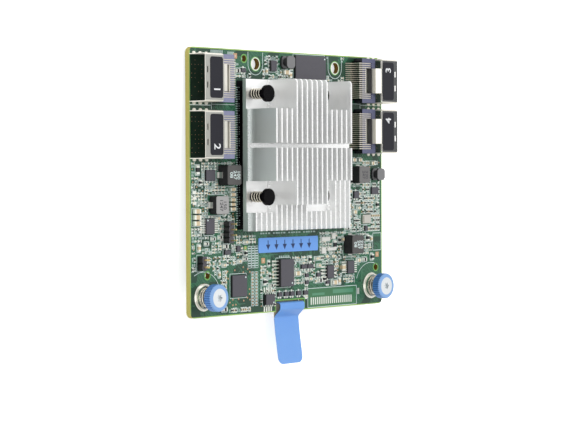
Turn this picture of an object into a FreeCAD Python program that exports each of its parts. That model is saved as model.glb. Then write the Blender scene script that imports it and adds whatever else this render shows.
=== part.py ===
import FreeCAD, Part
import math
import os
import Sketcher
from FreeCAD import Placement, Rotation, Vector

# Storage controller mezzanine card: a 110 x 98 mm circuit board with four right-angle
# mini-SAS receptacles, a finned heat sink on sprung push pins, two sprung captive
# thumbscrews, a pull tab and a board-to-board connector on its back.
# Board frame: X right, Y up, Z out of the component side, Z = 0 on the component side,
# centre of the board at 0, 0. The part's own origin is the centre of the mating face of
# the connector on the back, so every piece is moved there when it is placed.

doc = FreeCAD.newDocument("StorageControllerCard")

dims = [
    # circuit board: each hole is set in from its nearer side edge and its nearer long edge
    ("board_width", 110.0), ("board_length", 98.0), ("board_thickness", 2.0), ("board_corner", 2.3),
    ("drawn_width", 110.0), ("guide_hole_dia", 4.2), ("guide_left_inset", 35.3),
    ("guide_right_inset", 28.9), ("guide_top_inset", 5.1),
    ("tooling_hole_dia", 2.4), ("top_tooling_side", 29.0), ("top_tooling_inset", 3.3),
    ("left_tooling_side", 9.0), ("left_tooling_inset", 15.2),
    ("right_tooling_side", 4.0), ("right_tooling_inset", 14.6),
    ("notch_width", 16.3), ("notch_depth", 4.1), ("notch_corner", 2.0), ("notch_x", -0.75),
    # mini-SAS receptacles, each centred so far below the upper edge
    ("port_setback", 0.1), ("port_1_inset", 11.2), ("port_2_inset", 31.7), ("port_3_inset", 9.7),
    ("port_4_inset", 29.5),
    ("shell_width", 17.4), ("shell_depth", 9.4), ("shell_height", 8.1), ("shell_wall", 0.3),
    ("shell_corner", 1.0),
    ("shell_rear_lip", 0.9), ("shell_tab_count", 3), ("shell_tab_length", 1.6), ("shell_tab_reach", 0.9),
    ("shell_tab_pitch", 3.2), ("shell_tab_first", 1.4), ("shell_tab_chamfer", 0.4),
    ("latch_slot_length", 2.2), ("latch_slot_width", 0.85), ("latch_slot_spacing", 5.5),
    ("latch_slot_inset", 0.85),
    ("strap_width", 9.7), ("strap_run", 3.0), ("strap_lip", 2.0), ("strap_bend", 0.2),
    ("housing_width", 17.4), ("housing_depth", 8.1), ("housing_height", 5.1), ("housing_gap", 0.8),
    ("housing_leg", 1.2), ("housing_undercut", 1.9), ("card_slot_width", 14.6), ("card_slot_height", 1.2),
    ("card_slot_level", 1.4), ("card_slot_depth", 5.2),
    ("window_width", 9.8), ("window_length", 3.6), ("window_rear", 2.1), ("window_depth", 1.8),
    ("contact_count", 18), ("end_contacts", 3), ("contact_pitch", 0.8), ("contact_width", 0.34),
    ("contact_metal", 0.22), ("contact_groove", 0.44), ("contact_run", 5.8), ("contact_end_gap", 0.1),
    ("contact_stand_off", 1.1), ("contact_foot", 3.1), ("contact_bend", 0.3),
    ("port_label_length", 14.8), ("port_label_width", 6.6), ("port_label_thickness", 0.12),
    ("port_label_corner", 1.0), ("port_label_inset", 2.4),
    # heat sink
    ("sink_width", 58.2), ("sink_length", 56.0), ("sink_x", -0.85), ("sink_y", 10.0), ("sink_base", 2.4),
    ("fin_count", 20), ("fin_thickness", 0.8), ("fin_height", 13.0), ("fin_inset", 1.2), ("fin_ledge", 2.62),
    ("fin_root", 0.3), ("fin_low_height", 2.75), ("fin_corner", 1.4), ("tall_fins", 16),
    ("long_fins_first", 4), ("long_fins_last", 11), ("saw_width", 1.75), ("saw_offset", 3.55),
    ("pad_floor", 1.6), ("pad_upper_length", 11.0), ("pad_lower_length", 11.65), ("pad_lower_start", 6.8),
    ("low_strip_length", 9.6), ("cut_overrun", 0.5),
    # push pins
    ("pin_side_inset", 3.85), ("pin_fin_gap", 1.45), ("pin_upper_rise", 22.5), ("pin_hole_dia", 3.5),
    ("pin_shaft_dia", 3.0),
    ("pin_cap_dia", 6.2), ("pin_cap_height", 1.5), ("pin_cap_bevel", 0.15), ("pin_spring_length", 6.6),
    ("pin_spring_dia", 4.1), ("pin_spring_wire", 0.45), ("pin_barb_dia", 3.9), ("pin_barb_length", 1.6),
    ("pin_barb_edge", 0.3), ("pin_slit", 0.7), ("pin_clearance", 0.05),
    # processor under the heat sink
    ("chip_size", 31.0), ("chip_substrate", 1.1), ("chip_lid_size", 27.0), ("chip_height", 2.6),
    ("thermal_gap", 0.4),
    # captive thumbscrews
    ("screw_left_inset", 6.7), ("screw_right_inset", 7.4), ("screw_low_inset", 7.5),
    ("ferrule_flange_dia", 10.2), ("ferrule_flange_height", 0.9), ("ferrule_barrel_dia", 8.8),
    ("ferrule_height", 2.3), ("ferrule_bore_dia", 7.8), ("ferrule_floor", 0.8), ("ferrule_shank_dia", 8.6),
    ("ferrule_eye_dia", 4.4), ("ferrule_bevel", 0.25), ("knob_dia", 9.9), ("knob_length", 3.5),
    ("knob_lift", 4.8), ("knob_flutes", 36), ("knob_flute_width", 0.44), ("knob_flute_depth", 0.2),
    ("knob_chamfer", 0.4),
    ("screw_head_dia", 6.8), ("screw_head_height", 0.9), ("screw_neck_dia", 3.9), ("screw_thread_dia", 3.0),
    ("screw_point", 0.4), ("screw_collar_dia", 5.0), ("screw_collar_height", 0.4), ("screw_tip", 2.6),
    ("screw_clearance", 0.1), ("recess_dia", 3.0), ("recess_root_dia", 2.0), ("recess_lobes", 6),
    ("recess_depth", 1.2), ("screw_spring_dia", 7.4), ("screw_spring_wire", 0.6),
    # pull tab
    ("tab_width", 13.8), ("tab_thickness", 0.25), ("tab_x", -0.6), ("tab_corner", 2.6), ("tab_reach", 20.0),
    ("tab_notch_gap", 0.75), ("tab_stuck_length", 6.0), ("tab_fold_height", 1.1), ("tab_fold_length", 2.6),
    ("tab_fall_length", 5.6), ("tab_sag_length", 12.0), ("tab_sag", 0.6), ("tab_end_height", 0.3),
    # connector on the back
    ("mezz_x", -1.65), ("mezz_y", -23.7), ("mezz_length", 36.0), ("mezz_width", 6.2), ("mezz_height", 4.0),
    ("mezz_rib", 1.4), ("mezz_wall", 0.9), ("mezz_key", 1.0), ("mezz_well", 2.6), ("mezz_count", 32),
    ("mezz_pitch", 1.0), ("mezz_contact_width", 0.4), ("mezz_contact_metal", 0.2), ("mezz_contact_gap", 0.3),
    # adhesive label on the board
    ("install_label_length", 33.9), ("install_label_width", 5.6), ("install_label_thickness", 0.35),
    ("install_label_corner", 0.5),
    # pin headers, set in from the left and lower edges
    ("header_pitch", 2.0), ("header_pins", 4), ("header_side", 19.1), ("header_inset", 30.8),
    ("header_depth", 2.6), ("header_height", 2.7), ("header_pin", 0.5), ("header_pin_reach", 2.4),
    ("jumper_pitch", 2.54), ("jumper_pins", 2), ("jumper_side", 5.1), ("jumper_inset", 19.8),
    ("jumper_depth", 2.3), ("jumper_height", 2.5), ("jumper_pin", 0.64), ("jumper_pin_reach", 2.2),
    ("header_waist", 0.35),
    # wound parts
    ("upper_choke_size", 7.3), ("upper_choke_height", 5.0), ("upper_choke_gap", 2.8), ("upper_choke_y", 51.7),
    ("left_choke_size", 6.6), ("left_choke_height", 3.8), ("left_choke_x", 13.5), ("left_choke_y", 40.8),
    ("right_choke_size", 7.1), ("right_choke_height", 4.6), ("right_choke_x", -20.2), ("right_choke_y", 24.2),
    ("port_choke_size", 6.5), ("port_choke_height", 4.0), ("port_choke_x", -15.3), ("port_choke_y", 51.5),
    ("choke_foot_width", 2.2), ("choke_foot_metal", 0.25), ("choke_foot_reach", 0.7), ("choke_gap", 0.1),
    ("choke_corner", 0.5), ("choke_bevel", 0.25), ("choke_foot_share", 0.45),
    ("drum_size", 4.6), ("drum_height", 3.6), ("drum_flange", 0.9), ("drum_core_dia", 3.2),
    ("drum_corner", 0.9),
    ("upper_drum_x", 51.4), ("upper_drum_y", -3.9), ("side_drum_x", -4.7), ("side_drum_y", 51.6),
    # mouldings and their leads
    ("package_gap", 0.1), ("package_bevel", 0.15), ("lead_metal", 0.2), ("lead_shoulder", 0.45),
    ("lead_slope", 0.15), ("lead_span", 1.35), ("wide_lead", 0.42), ("wide_pitch", 1.27),
    ("fine_lead", 0.3), ("fine_pitch", 0.65), ("driver_pitch", 0.8),
    ("regulator_gap", 1.65), ("regulator_y", 51.6), ("regulator_width", 4.7), ("regulator_length", 4.0),
    ("regulator_height", 0.9),
    # oscillator can
    ("oscillator_x", -10.4), ("oscillator_y", 33.9), ("oscillator_width", 5.0), ("oscillator_length", 3.4),
    ("oscillator_height", 1.2), ("oscillator_rim", 0.85), ("oscillator_edge", 0.45),
]

# Loose parts are placed from the nearer edges: a place above 0 counts in from the left or
# lower edge, one below 0 counts in from the right or upper edge. Across the board they are
# spread in proportion to its width, and drawn_width is the width they were laid out for.
# name: x, y, width, length, height
packages = {
    "flash_chip": (-44.2, -7.0, 17.6, 12.0, 1.1),
    "bus_chip": (50.45, 14.65, 7.5, 10.3, 2.35),
    "clock_chip": (25.4, 10.8, 8.0, 8.0, 1.0),
    "supervisor_chip": (41.65, 4.95, 4.9, 3.9, 1.6),
    "level_shifter_chip": (-32.85, 13.95, 3.9, 4.9, 1.2),
    "left_driver_chip": (9.9, 33.15, 4.4, 5.7, 1.0),
    "right_driver_chip": (-20.4, 15.3, 4.0, 5.0, 1.1),
}
small_packages = (
    (44.55, -5.5, 3.1, 4.0, 1.2), (-5.1, 45.1, 4.2, 2.8, 0.9),
    (-16.6, 43.6, 3.0, 2.8, 0.9), (19.15, 23.35, 3.1, 1.7, 0.9), (-10.55, 30.25, 1.7, 1.9, 0.9),
    (25.1, 24.5, 2.0, 2.2, 0.9), (48.05, 6.5, 2.3, 1.6, 0.9), (51.75, 6.5, 2.5, 1.6, 0.9),
    (55.0, 6.5, 2.4, 1.6, 0.9), (58.95, 6.5, 2.5, 1.6, 0.9), (62.85, 6.5, 2.5, 1.6, 0.9),
    (61.9, 16.5, 3.2, 1.6, 0.9), (65.6, 16.5, 3.2, 1.6, 0.9), (63.7, 13.1, 1.8, 1.4, 0.8),
    (63.7, 10.4, 1.8, 1.4, 0.8), (-39.45, 13.05, 2.1, 1.5, 0.8), (-34.0, 9.95, 1.8, 1.3, 0.8),
    (28.3, -7.65, 2.6, 1.5, 0.8))
ceramic_capacitors = (
    (22.0, 46.4, 2.9, 1.1, 1.1), (22.0, 44.5, 2.9, 1.1, 1.1), (22.0, 42.6, 2.9, 1.1, 1.1),
    (22.0, 40.9, 2.9, 1.1, 1.1), (22.0, 39.2, 2.9, 1.1, 1.1), (2.9, 38.7, 3.0, 1.6, 1.5),
    (2.9, 36.5, 3.0, 1.6, 1.5), (2.9, 34.3, 3.0, 1.6, 1.5), (51.8, -7.7, 2.9, 1.6, 1.3),
    (-25.4, 15.4, 1.9, 2.1, 1.6), (-34.6, 19.9, 1.5, 0.9, 0.8), (-30.9, 19.9, 1.5, 0.9, 0.8),
    (-17.6, 36.8, 2.0, 1.25, 1.0), (-18.0, -40.7, 1.9, 1.2, 1.0), (-14.3, -40.7, 1.9, 1.2, 1.0),
    (-6.4, -42.0, 1.9, 1.2, 1.0))
packages.update({"small_package_%d" % i: sizes for i, sizes in enumerate(small_packages, start=1)})
packages.update({"capacitor_%d" % i: sizes for i, sizes in enumerate(ceramic_capacitors, start=1)})
for name, sizes in packages.items():
    for what, size in zip(("x", "y", "width", "length", "height"), sizes):
        dims.append(("%s_%s" % (name, what), size))

sheet = doc.addObject("Spreadsheet::Sheet", "Dim")
for row, (name, value) in enumerate(dims, start=1):
    sheet.set("A%d" % row, name)
    sheet.set("B%d" % row, repr(value))
    sheet.setAlias("B%d" % row, name)
doc.recompute()

parts = {}
NEAR = 0.01


def D(name):
    return float(getattr(sheet, name))


def seat(obj, x="0", y="0", z="0", turn=0.0):
    # Board coordinates in, the part's own frame out.
    obj.Placement = Placement(Vector(0, 0, 0), Rotation(Vector(0, 0, 1), turn))
    obj.setExpression(".Placement.Base.x", "%s - Dim.mezz_x" % x)
    obj.setExpression(".Placement.Base.y", "%s - Dim.mezz_y" % y)
    obj.setExpression(".Placement.Base.z", "%s + Dim.board_thickness + Dim.mezz_height" % z)
    return obj


def keep(name, obj):
    obj.Label = name
    parts[name] = obj
    return obj


def new_body(name):
    body = doc.addObject("PartDesign::Body", name)
    body.Label = name
    return body


def origin_part(body, role):
    for feature in body.Origin.OriginFeatures:
        if feature.Role == role:
            return feature
    raise RuntimeError("no origin part " + role)


def new_sketch(body, role="XY_Plane", level="0"):
    sketch = body.newObject("Sketcher::SketchObject", body.Name + "_sketch")
    sketch.AttachmentSupport = [(origin_part(body, role), "")]
    sketch.MapMode = "FlatFace"
    if level != "0":
        sketch.setExpression(".AttachmentOffset.Base.z", level)
    return sketch


def value_of(expression):
    return float(sheet.evalExpression(expression))


def bound(sketch, constraint, expression):
    k = sketch.addConstraint(constraint)
    sketch.setExpression("Constraints[%d]" % k, expression)


def outline(sketch, points):
    # A closed polygon whose corners are tied to the sheet.
    start = [Vector(value_of(px), value_of(py), 0) for px, py in points]
    first = sketch.GeometryCount
    count = len(points)
    for i in range(count):
        sketch.addGeometry(Part.LineSegment(start[i], start[(i + 1) % count]), False)
    for i in range(count):
        sketch.addConstraint(Sketcher.Constraint("Coincident", first + i, 2, first + (i + 1) % count, 1))
    for i, (px, py) in enumerate(points):
        bound(sketch, Sketcher.Constraint("DistanceX", first + i, 1, start[i].x), px)
        bound(sketch, Sketcher.Constraint("DistanceY", first + i, 1, start[i].y), py)


def box_outline(sketch, x0, y0, x1, y1):
    outline(sketch, [(x0, y0), (x1, y0), (x1, y1), (x0, y1)])


def round_outline(sketch, x, y, dia):
    centre, radius = Vector(value_of(x), value_of(y), 0), value_of(dia) / 2
    k = sketch.addGeometry(Part.Circle(centre, Vector(0, 0, 1), radius), False)
    bound(sketch, Sketcher.Constraint("DistanceX", k, 3, centre.x), x)
    bound(sketch, Sketcher.Constraint("DistanceY", k, 3, centre.y), y)
    bound(sketch, Sketcher.Constraint("Diameter", k, 2 * radius), dia)


def pad(body, sketch, length, both=False, back=False):
    feature = body.newObject("PartDesign::Pad", body.Name + "_pad")
    feature.Profile = sketch
    feature.setExpression("Length", length)
    feature.SideType = "Symmetric" if both else "One side"
    feature.Reversed = back
    body.Tip = feature
    return feature


def pocket(body, sketch, length, both=False, back=False):
    feature = body.newObject("PartDesign::Pocket", body.Name + "_pocket")
    feature.Profile = sketch
    feature.setExpression("Length", length)
    feature.SideType = "Symmetric" if both else "One side"
    feature.Reversed = back
    body.Tip = feature
    return feature


def revolve(body, sketch):
    feature = body.newObject("PartDesign::Revolution", body.Name + "_turned")
    feature.Profile = sketch
    feature.ReferenceAxis = (sketch, ["V_Axis"])
    feature.Angle = 360
    body.Tip = feature
    return feature


def row_of(body, source, axis, step, count):
    pattern = body.newObject("PartDesign::LinearPattern", body.Name + "_row")
    pattern.Originals = [source]
    pattern.Direction = (origin_part(body, axis), [""])
    pattern.Mode = "Spacing"
    pattern.setExpression("Offset", step)
    pattern.setExpression("Occurrences", count)
    body.Tip = pattern
    return pattern


def ring_of(body, source, count):
    pattern = body.newObject("PartDesign::PolarPattern", body.Name + "_ring")
    pattern.Originals = [source]
    pattern.Axis = (origin_part(body, "Z_Axis"), [""])
    pattern.Angle = 360
    pattern.setExpression("Occurrences", count)
    body.Tip = pattern
    return pattern


def edge_names(feature, test):
    return ["Edge%d" % (i + 1) for i, edge in enumerate(feature.Shape.Edges) if test(edge)]


def upright(edge):
    a, b = edge.Vertexes[0].Point, edge.Vertexes[-1].Point
    return abs(a.x - b.x) < NEAR and abs(a.y - b.y) < NEAR and abs(a.z - b.z) > NEAR


def fillet(body, base, names, radius, kind="Fillet"):
    feature = body.newObject("PartDesign::" + kind, body.Name + "_" + kind.lower())
    feature.Base = (base, names)
    feature.setExpression("Radius" if kind == "Fillet" else "Size", radius)
    body.Tip = feature
    return feature


def solid(name, shape):
    # A piece made with Part's own functions, in board coordinates.
    feature = doc.addObject("Part::Feature", name)
    feature.Shape = shape
    feature.Placement = Placement(
        Vector(-D("mezz_x"), -D("mezz_y"), D("board_thickness") + D("mezz_height")),
        Rotation()).multiply(shape.Placement)
    return keep(name, feature)


def block(x0, x1, y0, y1, z0, z1):
    return Part.makeBox(x1 - x0, y1 - y0, z1 - z0, Vector(x0, y0, z0))


def across(x):
    half = D("drawn_width") / 2
    return (x - half if x > 0 else x + half) * D("board_width") / D("drawn_width")


def along(y):
    half = D("board_length") / 2
    return y - half if y > 0 else y + half


# Circuit board: outline with the U-shaped notch for the pull tab, rounded corners, and
# the holes for the guide pins, the tooling, the push pins and the two screw ferrules.
board = new_body("circuit_board")
sketch = new_sketch(board)
left_edge, right_edge = "-Dim.board_width / 2", "Dim.board_width / 2"
lower_edge, upper_edge = "-Dim.board_length / 2", "Dim.board_length / 2"
notch_left = "Dim.notch_x - Dim.notch_width / 2"
notch_right = "Dim.notch_x + Dim.notch_width / 2"
notch_top = lower_edge + " + Dim.notch_depth"
outline(sketch, [(left_edge, lower_edge), (notch_left, lower_edge), (notch_left, notch_top),
                 (notch_right, notch_top), (notch_right, lower_edge), (right_edge, lower_edge),
                 (right_edge, upper_edge), (left_edge, upper_edge)])
blank = pad(board, sketch, "Dim.board_thickness", back=True)
doc.recompute()
corners = edge_names(blank, lambda e: upright(e) and
                     abs(abs(e.Vertexes[0].X) - value_of(right_edge)) < NEAR)
rounded = fillet(board, blank, corners, "Dim.board_corner")
doc.recompute()
inner = edge_names(rounded, lambda e: upright(e) and abs(e.Vertexes[0].Y - value_of(notch_top)) < NEAR)
fillet(board, rounded, inner, "Dim.notch_corner")

# The heat sink's fins, pads and pins line up with each other, so they are worked out once.
sink_left, sink_right = "Dim.sink_x - Dim.sink_width / 2", "Dim.sink_x + Dim.sink_width / 2"
sink_low, sink_top = "Dim.sink_y - Dim.sink_length / 2", "Dim.sink_y + Dim.sink_length / 2"
fin_pitch = "( Dim.sink_width - Dim.fin_inset - Dim.fin_ledge - Dim.fin_thickness ) / ( Dim.fin_count - 1 )"
pin_x = {"left": sink_left + " + Dim.pin_side_inset",
         "right": sink_left + " + Dim.fin_inset + ( Dim.long_fins_last - 1 ) * " + fin_pitch +
                  " + Dim.fin_thickness + Dim.pin_fin_gap + Dim.pin_cap_dia / 2"}
pin_y = {"upper": "Dim.sink_y + Dim.pin_upper_rise",
         "lower": sink_low + " + Dim.pad_lower_start + Dim.pad_lower_length / 2"}
screw_x = {"left": left_edge + " + Dim.screw_left_inset", "right": right_edge + " - Dim.screw_right_inset"}
screw_y = lower_edge + " + Dim.screw_low_inset"

sketch = new_sketch(board)
guide_y = upper_edge + " - Dim.guide_top_inset"
for x, y, dia in (
        (left_edge + " + Dim.guide_left_inset", guide_y, "Dim.guide_hole_dia"),
        (right_edge + " - Dim.guide_right_inset", guide_y, "Dim.guide_hole_dia"),
        (left_edge + " + Dim.top_tooling_side", upper_edge + " - Dim.top_tooling_inset",
         "Dim.tooling_hole_dia"),
        (left_edge + " + Dim.left_tooling_side", lower_edge + " + Dim.left_tooling_inset",
         "Dim.tooling_hole_dia"),
        (right_edge + " - Dim.right_tooling_side", lower_edge + " + Dim.right_tooling_inset",
         "Dim.tooling_hole_dia"),
        (screw_x["left"], screw_y, "Dim.ferrule_shank_dia"),
        (screw_x["right"], screw_y, "Dim.ferrule_shank_dia")):
    round_outline(sketch, x, y, dia)
for side in ("left", "right"):
    for level in ("upper", "lower"):
        round_outline(sketch, pin_x[side], pin_y[level], "Dim.pin_hole_dia")
pocket(board, sketch, "Dim.board_thickness")
keep("circuit_board", seat(board))


# Mini-SAS receptacles. Each is drawn once in its own frame: X runs in from the mouth,
# Y across, Z up from the board.
def port_shell(name):
    body = new_body(name)
    sketch = new_sketch(body, "YZ_Plane")
    half, top = "Dim.shell_width / 2", "Dim.shell_height"
    box_outline(sketch, "-" + half, "0", half, top)
    skin = pad(body, sketch, "Dim.shell_depth")
    doc.recompute()
    roof_edges = edge_names(skin, lambda e: e.BoundBox.ZMin > D("shell_height") - NEAR and
                            e.BoundBox.YLength < NEAR)
    fillet(body, skin, roof_edges, "Dim.shell_corner")
    sketch = new_sketch(body, "YZ_Plane")
    inner = "Dim.shell_width / 2 - Dim.shell_wall"
    roof = "Dim.shell_height - Dim.shell_wall"
    cant = "( Dim.shell_corner - Dim.shell_wall ) / 2"
    outline(sketch, [("Dim.shell_wall - Dim.shell_width / 2", "0"), (inner, "0"),
                     (inner, roof + " - " + cant),
                     (inner + " - " + cant, roof), (cant + " - ( " + inner + " )", roof),
                     ("Dim.shell_wall - Dim.shell_width / 2", roof + " - " + cant)])
    pocket(body, sketch, "Dim.shell_depth", back=True)
    # two latch windows near the mouth
    sketch = new_sketch(body, "XY_Plane", top)
    for sign in ("-", ""):
        middle = sign + "Dim.latch_slot_spacing / 2"
        box_outline(sketch, "Dim.latch_slot_inset", middle + " - Dim.latch_slot_length / 2",
                    "Dim.latch_slot_inset + Dim.latch_slot_width", middle + " + Dim.latch_slot_length / 2")
    pocket(body, sketch, "2 * Dim.shell_wall")
    # solder tabs along both sides
    edge = "Dim.shell_width / 2 - Dim.shell_wall / 2"
    out = "Dim.shell_width / 2 + Dim.shell_tab_reach"
    start, end = "Dim.shell_tab_first", "Dim.shell_tab_first + Dim.shell_tab_length"
    nick = "Dim.shell_tab_chamfer"
    for sign in ("", "-"):
        sketch = new_sketch(body, "XY_Plane")
        corners = [(start, edge), (end, edge), (end, out + " - " + nick), (end + " - " + nick, out),
                   (start + " + " + nick, out), (start, out + " - " + nick)]
        outline(sketch, [(x, sign + "( " + y + " )") for x, y in corners])
        tab = pad(body, sketch, "Dim.shell_wall")
        row_of(body, tab, "X_Axis", "Dim.shell_tab_pitch", "Dim.shell_tab_count")
    # rear lip turned down under the roof, and the strap bent down on to the housing
    sketch = new_sketch(body, "XZ_Plane")
    rear = "Dim.shell_depth"
    box_outline(sketch, rear + " - Dim.shell_wall", top + " - Dim.shell_rear_lip", rear, top)
    pad(body, sketch, "Dim.shell_width - 2 * Dim.shell_corner", both=True)
    sketch = new_sketch(body, "XZ_Plane")
    foot, knee = "Dim.housing_height", "Dim.housing_height + Dim.strap_lip"
    outline(sketch, [(rear + " - Dim.shell_wall", top),
                     (rear + " - Dim.shell_wall", top + " - Dim.shell_wall"),
                     (rear, top + " - Dim.shell_wall"),
                     (rear + " + Dim.strap_run - Dim.shell_wall", knee + " - Dim.shell_wall"),
                     (rear + " + Dim.strap_run - Dim.shell_wall", foot), (rear + " + Dim.strap_run", foot),
                     (rear + " + Dim.strap_run", knee), (rear + " + Dim.strap_bend", top)])
    pad(body, sketch, "Dim.strap_width", both=True)
    return body


housing_front = "Dim.shell_depth + Dim.housing_gap"
housing_rear = housing_front + " + Dim.housing_depth"
last_contact = "( Dim.contact_count - 1 ) * Dim.contact_pitch / 2"


def port_housing(name):
    body = new_body(name)
    sketch = new_sketch(body, "XY_Plane")
    half = "Dim.housing_width / 2"
    box_outline(sketch, housing_front, "-" + half, housing_rear, half)
    pad(body, sketch, "Dim.housing_height")
    # the two rear corners are undercut beside the contacts
    sketch = new_sketch(body, "XY_Plane")
    inner = half + " - Dim.housing_leg"
    box_outline(sketch, housing_rear + " - Dim.housing_leg", inner, housing_rear, half)
    box_outline(sketch, housing_rear + " - Dim.housing_leg", "-" + half, housing_rear, "-( " + inner + " )")
    pocket(body, sketch, "Dim.housing_undercut", back=True)
    # slot for the plug's card
    sketch = new_sketch(body, "YZ_Plane", housing_front)
    half = "Dim.card_slot_width / 2"
    box_outline(sketch, "-" + half, "Dim.card_slot_level", half, "Dim.card_slot_level + Dim.card_slot_height")
    pocket(body, sketch, "Dim.card_slot_depth", back=True)
    # window over the middle contacts
    sketch = new_sketch(body, "XY_Plane", "Dim.housing_height")
    half, rear = "Dim.window_width / 2", housing_rear + " - Dim.window_rear"
    box_outline(sketch, rear + " - Dim.window_length", "-" + half, rear, half)
    pocket(body, sketch, "Dim.window_depth")
    # contact grooves over the top, open to the rear
    sketch = new_sketch(body, "XY_Plane", "Dim.housing_height")
    half = "Dim.contact_groove / 2"
    box_outline(sketch, housing_rear + " - Dim.contact_run", "-( " + last_contact + " ) - " + half,
                housing_rear + " + Dim.contact_bend", half + " - " + last_contact)
    groove = pocket(body, sketch, "2 * Dim.contact_metal")
    row_of(body, groove, "Y_Axis", "Dim.contact_pitch", "Dim.contact_count")
    return body


def port_contacts(name):
    body = new_body(name)
    body.AllowCompound = True
    metal, upper = "Dim.contact_metal", "Dim.housing_height - Dim.contact_metal"
    under = "Dim.housing_height - 2 * Dim.contact_metal"
    out = housing_rear + " + Dim.contact_stand_off"
    toe = out + " + Dim.contact_foot"
    start = housing_rear + " - Dim.window_rear + Dim.contact_end_gap"
    sketch = new_sketch(body, "XZ_Plane", last_contact)
    outline(sketch, [(start, under), (out + " - " + metal, under), (out + " - " + metal, "0"), (toe, "0"),
                     (toe, metal), (out, metal), (out, upper + " - Dim.contact_bend"),
                     (out + " - Dim.contact_bend", upper), (start, upper)])
    row_of(body, pad(body, sketch, "Dim.contact_width", both=True), "Y_Axis", "Dim.contact_pitch",
           "Dim.contact_count")
    # beside the window the contacts run on towards the mouth
    half = "Dim.contact_width / 2"
    for first in ("-( " + last_contact + " )",
                  last_contact + " - ( Dim.end_contacts - 1 ) * Dim.contact_pitch"):
        sketch = new_sketch(body, "XY_Plane", under)
        box_outline(sketch, housing_rear + " - Dim.contact_run + Dim.contact_end_gap", first + " - " + half,
                    start + " + Dim.contact_metal", first + " + " + half)
        row_of(body, pad(body, sketch, metal), "Y_Axis", "Dim.contact_pitch", "Dim.end_contacts")
    return body


def port_label(name):
    body = new_body(name)
    sketch = new_sketch(body, "XY_Plane")
    half = "Dim.port_label_length / 2"
    box_outline(sketch, "Dim.port_label_inset", "-" + half,
                "Dim.port_label_inset + Dim.port_label_width", half)
    sticker = pad(body, sketch, "Dim.port_label_thickness")
    doc.recompute()
    fillet(body, sticker, edge_names(sticker, upright), "Dim.port_label_corner")
    return body


left_mouth = left_edge + " + Dim.port_setback"
for number, mouth, turn in (("1", left_mouth, 0.0), ("2", left_mouth, 0.0),
                            ("3", right_edge, 180.0), ("4", right_edge, 180.0)):
    centre = upper_edge + " - Dim.port_%s_inset" % number
    for what, make, level in (("shell", port_shell, "0"), ("housing", port_housing, "0"),
                              ("contacts", port_contacts, "0"), ("label", port_label, "Dim.shell_height")):
        name = "port_%s_%s" % (number, what)
        keep(name, seat(make(name), mouth, centre, level, turn))

# Heat sink: an extruded base with straight fins, milled down at four corner pads for the
# push pins, along the right side and along the lower edge, and sawn across once. Its own
# frame has the lower left corner of the base at 0, 0.
sink = new_body("heat_sink")
sketch = new_sketch(sink, "XY_Plane")
width, length = "Dim.sink_width", "Dim.sink_length"
box_outline(sketch, "0", "0", width, length)
pad(sink, sketch, "Dim.sink_base")
sketch = new_sketch(sink, "YZ_Plane", "Dim.fin_inset")
root, tip = D("sink_base") - D("fin_root"), D("sink_base") + D("fin_height")
far, r = D("sink_length"), D("fin_corner")
sketch.addGeometry(Part.LineSegment(Vector(0, root, 0), Vector(far, root, 0)), False)
sketch.addGeometry(Part.LineSegment(Vector(far, root, 0), Vector(far, tip - r, 0)), False)
crown = Part.Circle(Vector(far - r, tip - r, 0), Vector(0, 0, 1), r)
sketch.addGeometry(Part.ArcOfCircle(crown, 0, math.pi / 2), False)
sketch.addGeometry(Part.LineSegment(Vector(far - r, tip, 0), Vector(0, tip, 0)), False)
sketch.addGeometry(Part.LineSegment(Vector(0, tip, 0), Vector(0, root, 0)), False)
sketch.addConstraint(Sketcher.Constraint("Coincident", 0, 2, 1, 1))
sketch.addConstraint(Sketcher.Constraint("Coincident", 3, 2, 4, 1))
sketch.addConstraint(Sketcher.Constraint("Coincident", 4, 2, 0, 1))
sketch.addConstraint(Sketcher.Constraint("Tangent", 1, 2, 2, 1))
sketch.addConstraint(Sketcher.Constraint("Tangent", 2, 2, 3, 1))
sketch.addConstraint(Sketcher.Constraint("Horizontal", 0))
sketch.addConstraint(Sketcher.Constraint("Vertical", 1))
sketch.addConstraint(Sketcher.Constraint("Horizontal", 3))
sketch.addConstraint(Sketcher.Constraint("Vertical", 4))
sketch.addConstraint(Sketcher.Constraint("PointOnObject", 0, 1, -2))
bound(sketch, Sketcher.Constraint("DistanceY", 0, 1, root), "Dim.sink_base - Dim.fin_root")
bound(sketch, Sketcher.Constraint("DistanceX", 0, 2, far), length)
bound(sketch, Sketcher.Constraint("DistanceY", 3, 2, tip), "Dim.sink_base + Dim.fin_height")
bound(sketch, Sketcher.Constraint("Radius", 2, r), "Dim.fin_corner")
row_of(sink, pad(sink, sketch, "Dim.fin_thickness"), "X_Axis", fin_pitch, "Dim.fin_count")


def sink_cut(x0, y0, x1, y1, floor):
    sketch = new_sketch(sink, "XY_Plane", floor)
    box_outline(sketch, x0, y0, x1, y1)
    return pocket(sink, sketch, "Dim.sink_base + Dim.fin_height", back=True)


def before_fin(number):
    return "Dim.fin_inset + %s * %s - ( %s - Dim.fin_thickness ) / 2" % (number, fin_pitch, fin_pitch)


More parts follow.
